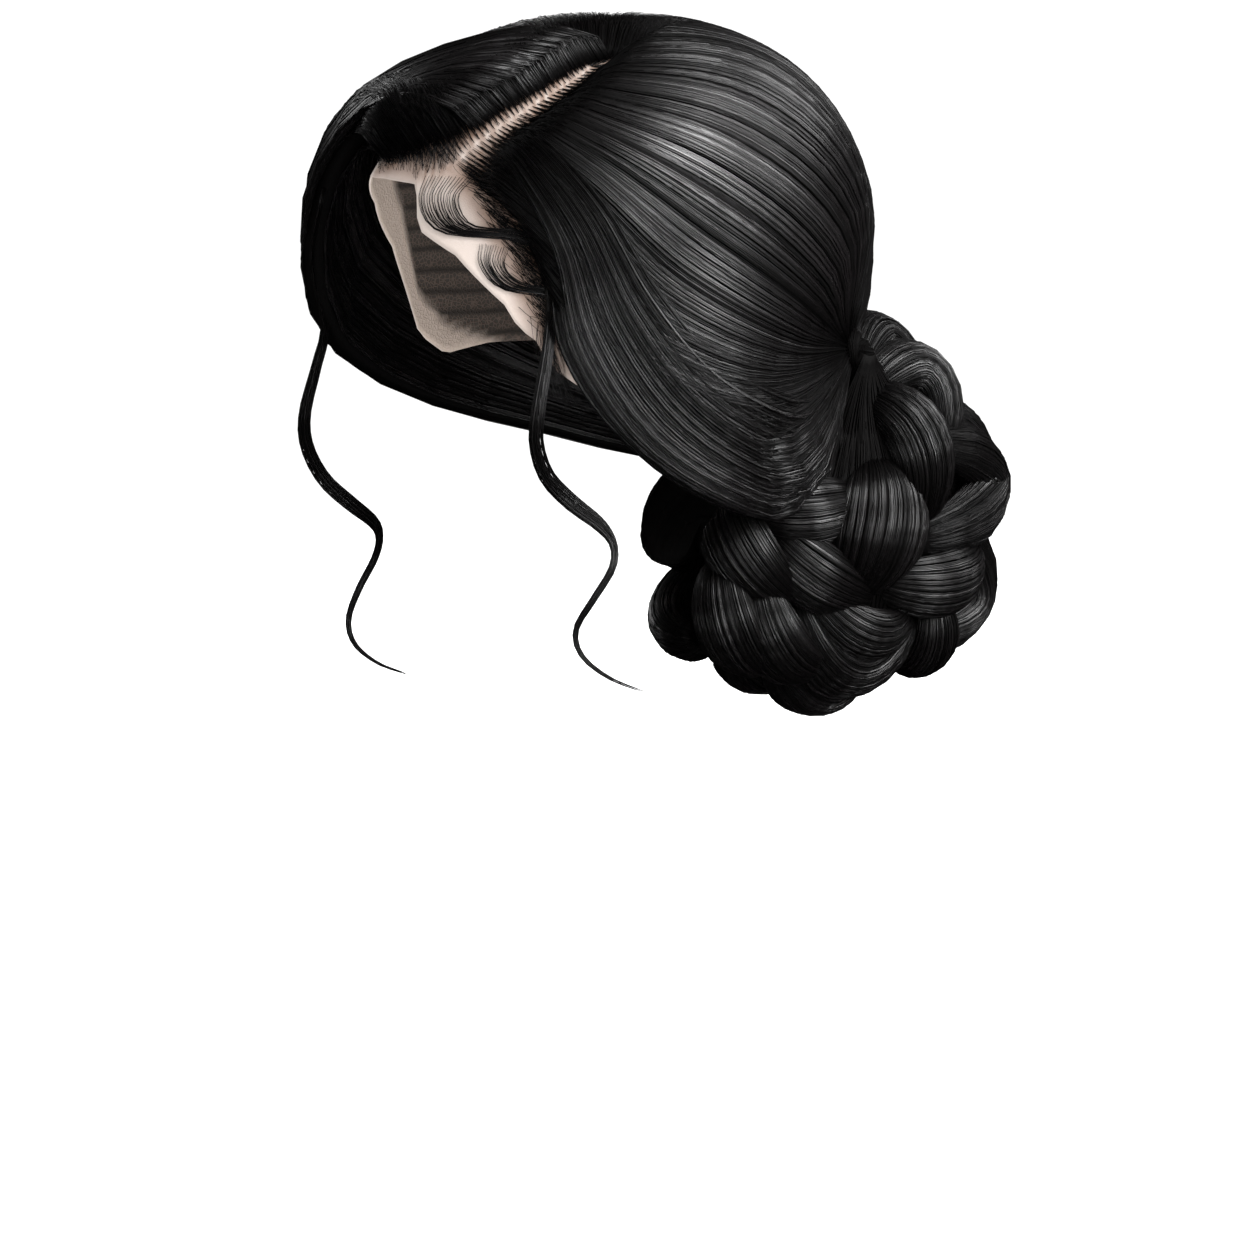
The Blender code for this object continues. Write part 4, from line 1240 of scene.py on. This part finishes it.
class WIG_OT_chignon(bpy.types.Operator):
    """Plaits the chignon: its core, dark with painted shade, and every lock with its strands"""
    bl_idname = "wig.chignon"
    bl_label = "Chignon"

    def execute(self, context):
        hair = context.scene.wig_hair
        chignon = context.scene.wig_chignon
        # Painted shade: lock bodies and the core take the darkened depth colour under and between the
        # locks.
        depth = under_finish(hair)
        strands = bpy.data.materials["glossy_hair"]
        rng = np.random.default_rng(14)
        for name, start, crest, end, width, reach in LOCKS:
            places = (start, crest, end)
            body = self.body(name, places, width, reach, chignon)
            hairs = int(chignon.strands * width / 0.60)
            cover = self.strands(name, places, width, reach, hairs, hair, chignon, rng)
            for part in (body, cover):
                part.data.materials.append(depth)
                part.data.materials.append(strands)
            second = np.ones(len(cover.data.polygons), np.int32)
            cover.data.polygons.foreach_set("material_index", second)
            bpy.ops.object.select_all(action="DESELECT")
            cover.select_set(True)
            body.select_set(True)
            context.view_layer.objects.active = body
            bpy.ops.object.join()
            settle(body, [name])
        self.core(hair, depth, rng)
        return {"FINISHED"}

    def core(self, hair, depth, rng):
        """The hair inside the chignon, spread from the band over the core and in between the locks."""
        source = frame["nodes"]["chignon_core"]
        ground = source.copy()
        ground.data = source.data.copy()
        ground.name = "chignon_core_depth"
        bpy.context.scene.collection.objects.link(ground)
        ground.data.materials.clear()
        ground.data.shade_smooth()
        write_attribute(ground.data, "across", co_of(ground.data)[:, 0] * 8.0)
        # Painted shade: the core takes the darkened depth colour.
        settle(ground, (), [depth])
        tree = BVHTree.FromPolygons(co_of(source.data).tolist(),
                                    [tuple(face.vertices) for face in source.data.polygons])
        hairs = 560
        points = 20
        outside = BAND_CENTRE + BAND_OUT * TIE_RADIUS * 0.9
        pole = unit_rows(outside - BUN_CENTRE)
        side = unit_rows(np.cross(pole, (0.0, 0.0, 1.0)))
        turn = (np.arange(hairs) + rng.random(hairs)) / hairs * 2.0 * np.pi
        sway = turn[:, None] + rng.normal(0.0, 0.12, hairs)[:, None] * np.linspace(0.0, 1.0, points)
        fall = np.radians(np.linspace(4.0, 150.0, points))[None] * rng.uniform(0.55, 1.0, hairs)[:, None]
        ray = np.cos(sway)[..., None] * side + np.sin(sway)[..., None] * np.cross(pole, side)
        unit = np.cos(fall)[..., None] * pole + np.sin(fall)[..., None] * ray
        reach = np.zeros(unit.shape[:2])
        for place in np.ndindex(*reach.shape):
            outward = Vector(unit[place])
            distance = tree.ray_cast(Vector(BUN_CENTRE) + outward * 0.2, -outward)[3]
            reach[place] = 0.03 if distance is None else 0.2 - distance
        stand = evened(reach, 2) + 0.0006 * rng.random(hairs)[:, None]
        paths = BUN_CENTRE + unit * stand[..., None]
        step = smooth(np.linspace(0.0, 1.0, points) / 0.16)[None, :, None]
        ring = np.cos(turn)[:, None] * side + np.sin(turn)[:, None] * np.cross(pole, side)
        throat = outside + ring * 0.0036
        paths = clear_of_head(throat[:, None] * (1.0 - step) + paths * step, 0.0008)
        width = np.full(reach.shape, hair.strand_width * 0.62)
        made = fibres("chignon_core_strands", paths, width, unit, rng)
        write_attribute(made.data, "across", np.repeat(rng.random(hairs), points * 3))
        # Painted shade: the hair spread between the locks takes the darkened depth colour.
        settle(made, ["chignon_core"], [depth])

    def body(self, name, places, width, reach, chignon):
        """The inside of a lock: a sphere drawn out along the lock's line, under its strands."""
        bpy.ops.object.select_all(action="DESELECT")
        bpy.ops.mesh.primitive_uv_sphere_add(segments=40, ring_count=24, radius=1.0)
        made = bpy.context.object
        made.name = name + "_hair"
        co = co_of(made.data)
        share = np.arccos(np.clip(co[:, 2], -1.0, 1.0)) / math.pi
        around = np.degrees(np.arctan2(co[:, 1], co[:, 0]))
        surface = lock_surface(places, width, reach, share, around, chignon.fullness - 0.0009)
        set_co(made.data, clear_of_head(surface, 0.0002))
        write_attribute(made.data, "across", around / 360.0)
        layer = made.data.uv_layers.active
        layer.name = "OFBake"
        uv = np.empty(len(made.data.loops) * 2)
        layer.uv.foreach_get("vector", uv)
        uv = uv.reshape(-1, 2) * (0.19, 0.98) + 0.01
        layer.uv.foreach_set("vector", uv.astype(np.float32).ravel())
        return close_up(made)

    def strands(self, name, places, width, reach, hairs, hair, chignon, rng):
        """The strands that cover a lock, in fine uneven clumps from end to end."""
        around = LOCK_FIRST + LOCK_ARC * (np.arange(hairs) + rng.random(hairs)) / hairs
        place = (around - LOCK_FIRST) / LOCK_ARC * LOCK_CLUMPS
        clump = np.clip(np.floor(place).astype(int), 0, LOCK_CLUMPS - 1)
        inside = (place - clump) * 2.0 - 1.0
        heights = rng.normal(0.0, 0.00014, LOCK_CLUMPS)
        level = rng.random(hairs) ** 1.4
        step = np.linspace(0.0, 1.0, 12)
        first = rng.uniform(0.005, 0.06, hairs)
        last = rng.uniform(0.94, 0.995, hairs)
        share = first[:, None] + (last - first)[:, None] * step
        angle = (around - inside * 1.2)[:, None] + rng.normal(0.0, 2.6, hairs)[:, None] * (step - 0.5)
        grow = (chignon.fullness - level * 0.0008 - 0.00022 * inside ** 2 + heights[clump])[:, None]
        paths = lock_surface(places, width, reach, share, angle, grow)
        middle = lock_surface(places, width, reach, share, angle, -0.004)
        half = hair.strand_width / 2.0 * rng.uniform(0.75, 1.2, hairs)[:, None]
        half = half * (0.6 + 0.4 * np.sin(np.pi * share))
        cells = np.floor(place * 4.0).astype(int)
        # Painted highlight and shade: shine peaks along the middle of each lock, lightening its colour,
        # and falls to painted shade at the tucked ends.
        shine = np.sin(np.pi * share) ** 1.6
        out = unit_rows(paths - middle)
        paths = clear_of_head(paths, 0.0005)
        return fibres(name + "_cover", paths, half, out, rng, cells, 0.22, shine)


class WIG_OT_tendrils(bpy.types.Operator):
    """Hangs a waved tendril in front of each ear"""
    bl_idname = "wig.tendrils"
    bl_label = "Tendrils"

    def execute(self, context):
        settings = context.scene.wig_hair
        hairline = directions(LEFT_ROOT)
        left_top = HEAD_CENTRE + hairline * (under_radius(hairline) + TENDRIL_WIDTH * TENDRIL_FLATNESS)
        panel = Combing(RIGHT_STRANDS)
        place = np.array([RIGHT_ROOT[0]]), np.array([RIGHT_ROOT[1]])
        right_top = (panel.outer(*place)[0] + panel.inner(*place)[0]) / 2.0
        rng = np.random.default_rng(15)
        left_lead = Combing(LEFT_SWEEP).outer(np.full(3, 0.97), np.array((0.10, 0.18, 0.27)), 0.0004)
        place = np.full(2, RIGHT_ROOT[0]), np.array((0.33, 0.40))
        right_lead = panel.outer(*place) * 0.5 + panel.inner(*place) * 0.5
        self.hang("left_tendril", left_top, 1.0, left_lead, settings, rng)
        self.hang("right_tendril", right_top, -1.0, right_lead, settings, rng)
        return {"FINISHED"}

    def hang(self, name, top, mirror, lead, settings, rng):
        """A tendril of fine locks that wind round its middle line."""
        line, widths = tendril_line(top, mirror, lead)
        hairs = 130
        step = np.linspace(0.0, 1.0, 44)
        last = np.clip(1.0 - rng.exponential(0.05, hairs), 0.55, 1.0)
        share = last[:, None] * step
        middle = through(line, share)
        half = through(widths[:, None], share)[..., 0]
        run = unit_rows(np.gradient(middle, axis=1))
        out = np.broadcast_to(np.array((mirror, 0.0, 0.0)), run.shape)
        side = unit_rows(np.cross(run, out))
        face = unit_rows(np.cross(side, run))
        lock = np.arange(hairs) % 5
        angle = rng.random(hairs) * 2.0 * np.pi
        far = np.sqrt(rng.random(hairs)) * 0.32
        twist = lock[:, None] * 0.4 * np.pi + 1.7 * share
        twist = twist + 0.35 * np.sin(7.0 * share + lock[:, None] * 2.0)
        turn = angle[:, None] + rng.normal(0.0, 0.5, hairs)[:, None] * share
        sideways = (np.cos(twist) * 0.58 + np.cos(turn) * far[:, None]) * half
        outwards = (np.sin(twist) * 0.58 + np.sin(turn) * far[:, None]) * half * TENDRIL_FLATNESS
        paths = middle + side * sideways[..., None] + face * outwards[..., None]
        taper = 1.0 - 0.75 * smooth((step - 0.75) / 0.25)
        thick = settings.strand_width * 0.36 * rng.uniform(0.7, 1.1, hairs)[:, None] * taper
        made = fibres(name + "_strands", paths, thick, out, rng)
        settle(made, [name], [bpy.data.materials["glossy_hair"]])


class WIG_OT_fine_hair(bpy.types.Operator):
    """Lays the fans of fine hair on the lace and the short hairs along the hairline"""
    bl_idname = "wig.fine_hair"
    bl_label = "Fine hair"

    def execute(self, context):
        rng = np.random.default_rng(16)
        hair = bpy.data.materials["glossy_hair"]
        for number, (outermost, innermost, count) in enumerate(FANS):
            share = np.repeat(np.arange(count) / (count - 1), 2)[:, None, None]
            count = len(share)
            places = np.array(outermost) * (1.0 - share) + np.array(innermost) * share
            places = places + rng.normal(0.0, 0.16, places.shape)
            places = np.concatenate([places, places[:, -1:] + np.array((6.0, -1.2))], 1)
            step = np.linspace(0.0, 1.0, 16)
            weights = spline_weights(5, step)
            curves = np.einsum("pk,hkc->hpc", weights, places)
            unit = directions(curves)
            lift = 0.0006 + 0.0008 * step
            paths = HEAD_CENTRE + unit * (head_radius(unit) + CAP_THICKNESS + lift)[..., None]
            width = 0.00021 * (0.3 + 0.7 * smooth(step / 0.5)) * rng.uniform(0.7, 1.2, (count, 1))
            made = fibres(f"fine_hair_fan_{number + 1}", paths, width, unit, rng)
            settle(made, (), [hair])
        for name, roots, tips, hairs, half_width, sag in WISPS:
            made = wisps(name, roots, tips, hairs, half_width, rng, sag)
            settle(made, (), [hair])
        return {"FINISHED"}


class WIG_PT_panel(bpy.types.Panel):
    """Lists the pieces and their settings"""
    bl_label = "Wig"
    bl_idname = "WIG_PT_panel"
    bl_space_type = "VIEW_3D"
    bl_region_type = "UI"
    bl_category = "Wig"

    def draw(self, context):
        for name, group in GROUPS.items():
            box = self.layout.box()
            for key in group.__annotations__:
                box.prop(getattr(context.scene, name), key)
        for operator in OPERATORS:
            self.layout.operator(operator.bl_idname)


GROUPS = {
    "wig_hair": HairSettings,
    "wig_chignon": ChignonSettings,
    "wig_lace": LaceSettings,
    "wig_stage": StageSettings,
}
OPERATORS = (
    WIG_OT_stage, WIG_OT_lace_cap, WIG_OT_left_hair, WIG_OT_right_hair, WIG_OT_nape_hair,
    WIG_OT_hair_tie, WIG_OT_chignon, WIG_OT_tendrils, WIG_OT_fine_hair,
)


def register():
    for group in GROUPS.values():
        bpy.utils.register_class(group)
    for operator in OPERATORS:
        bpy.utils.register_class(operator)
    bpy.utils.register_class(WIG_PT_panel)
    for name, group in GROUPS.items():
        setattr(bpy.types.Scene, name, bpy.props.PointerProperty(type=group))


def unregister():
    for name in GROUPS:
        delattr(bpy.types.Scene, name)
    bpy.utils.unregister_class(WIG_PT_panel)
    for operator in reversed(OPERATORS):
        bpy.utils.unregister_class(operator)
    for group in GROUPS.values():
        bpy.utils.unregister_class(group)


def main():
    """Builds every piece in order."""
    register()
    bpy.ops.wig.stage()
    bpy.ops.wig.lace_cap()
    bpy.ops.wig.left_hair()
    bpy.ops.wig.right_hair()
    bpy.ops.wig.nape_hair()
    bpy.ops.wig.hair_tie()
    bpy.ops.wig.chignon()
    bpy.ops.wig.tendrils()
    bpy.ops.wig.fine_hair()


if __name__ == "__main__":
    main()
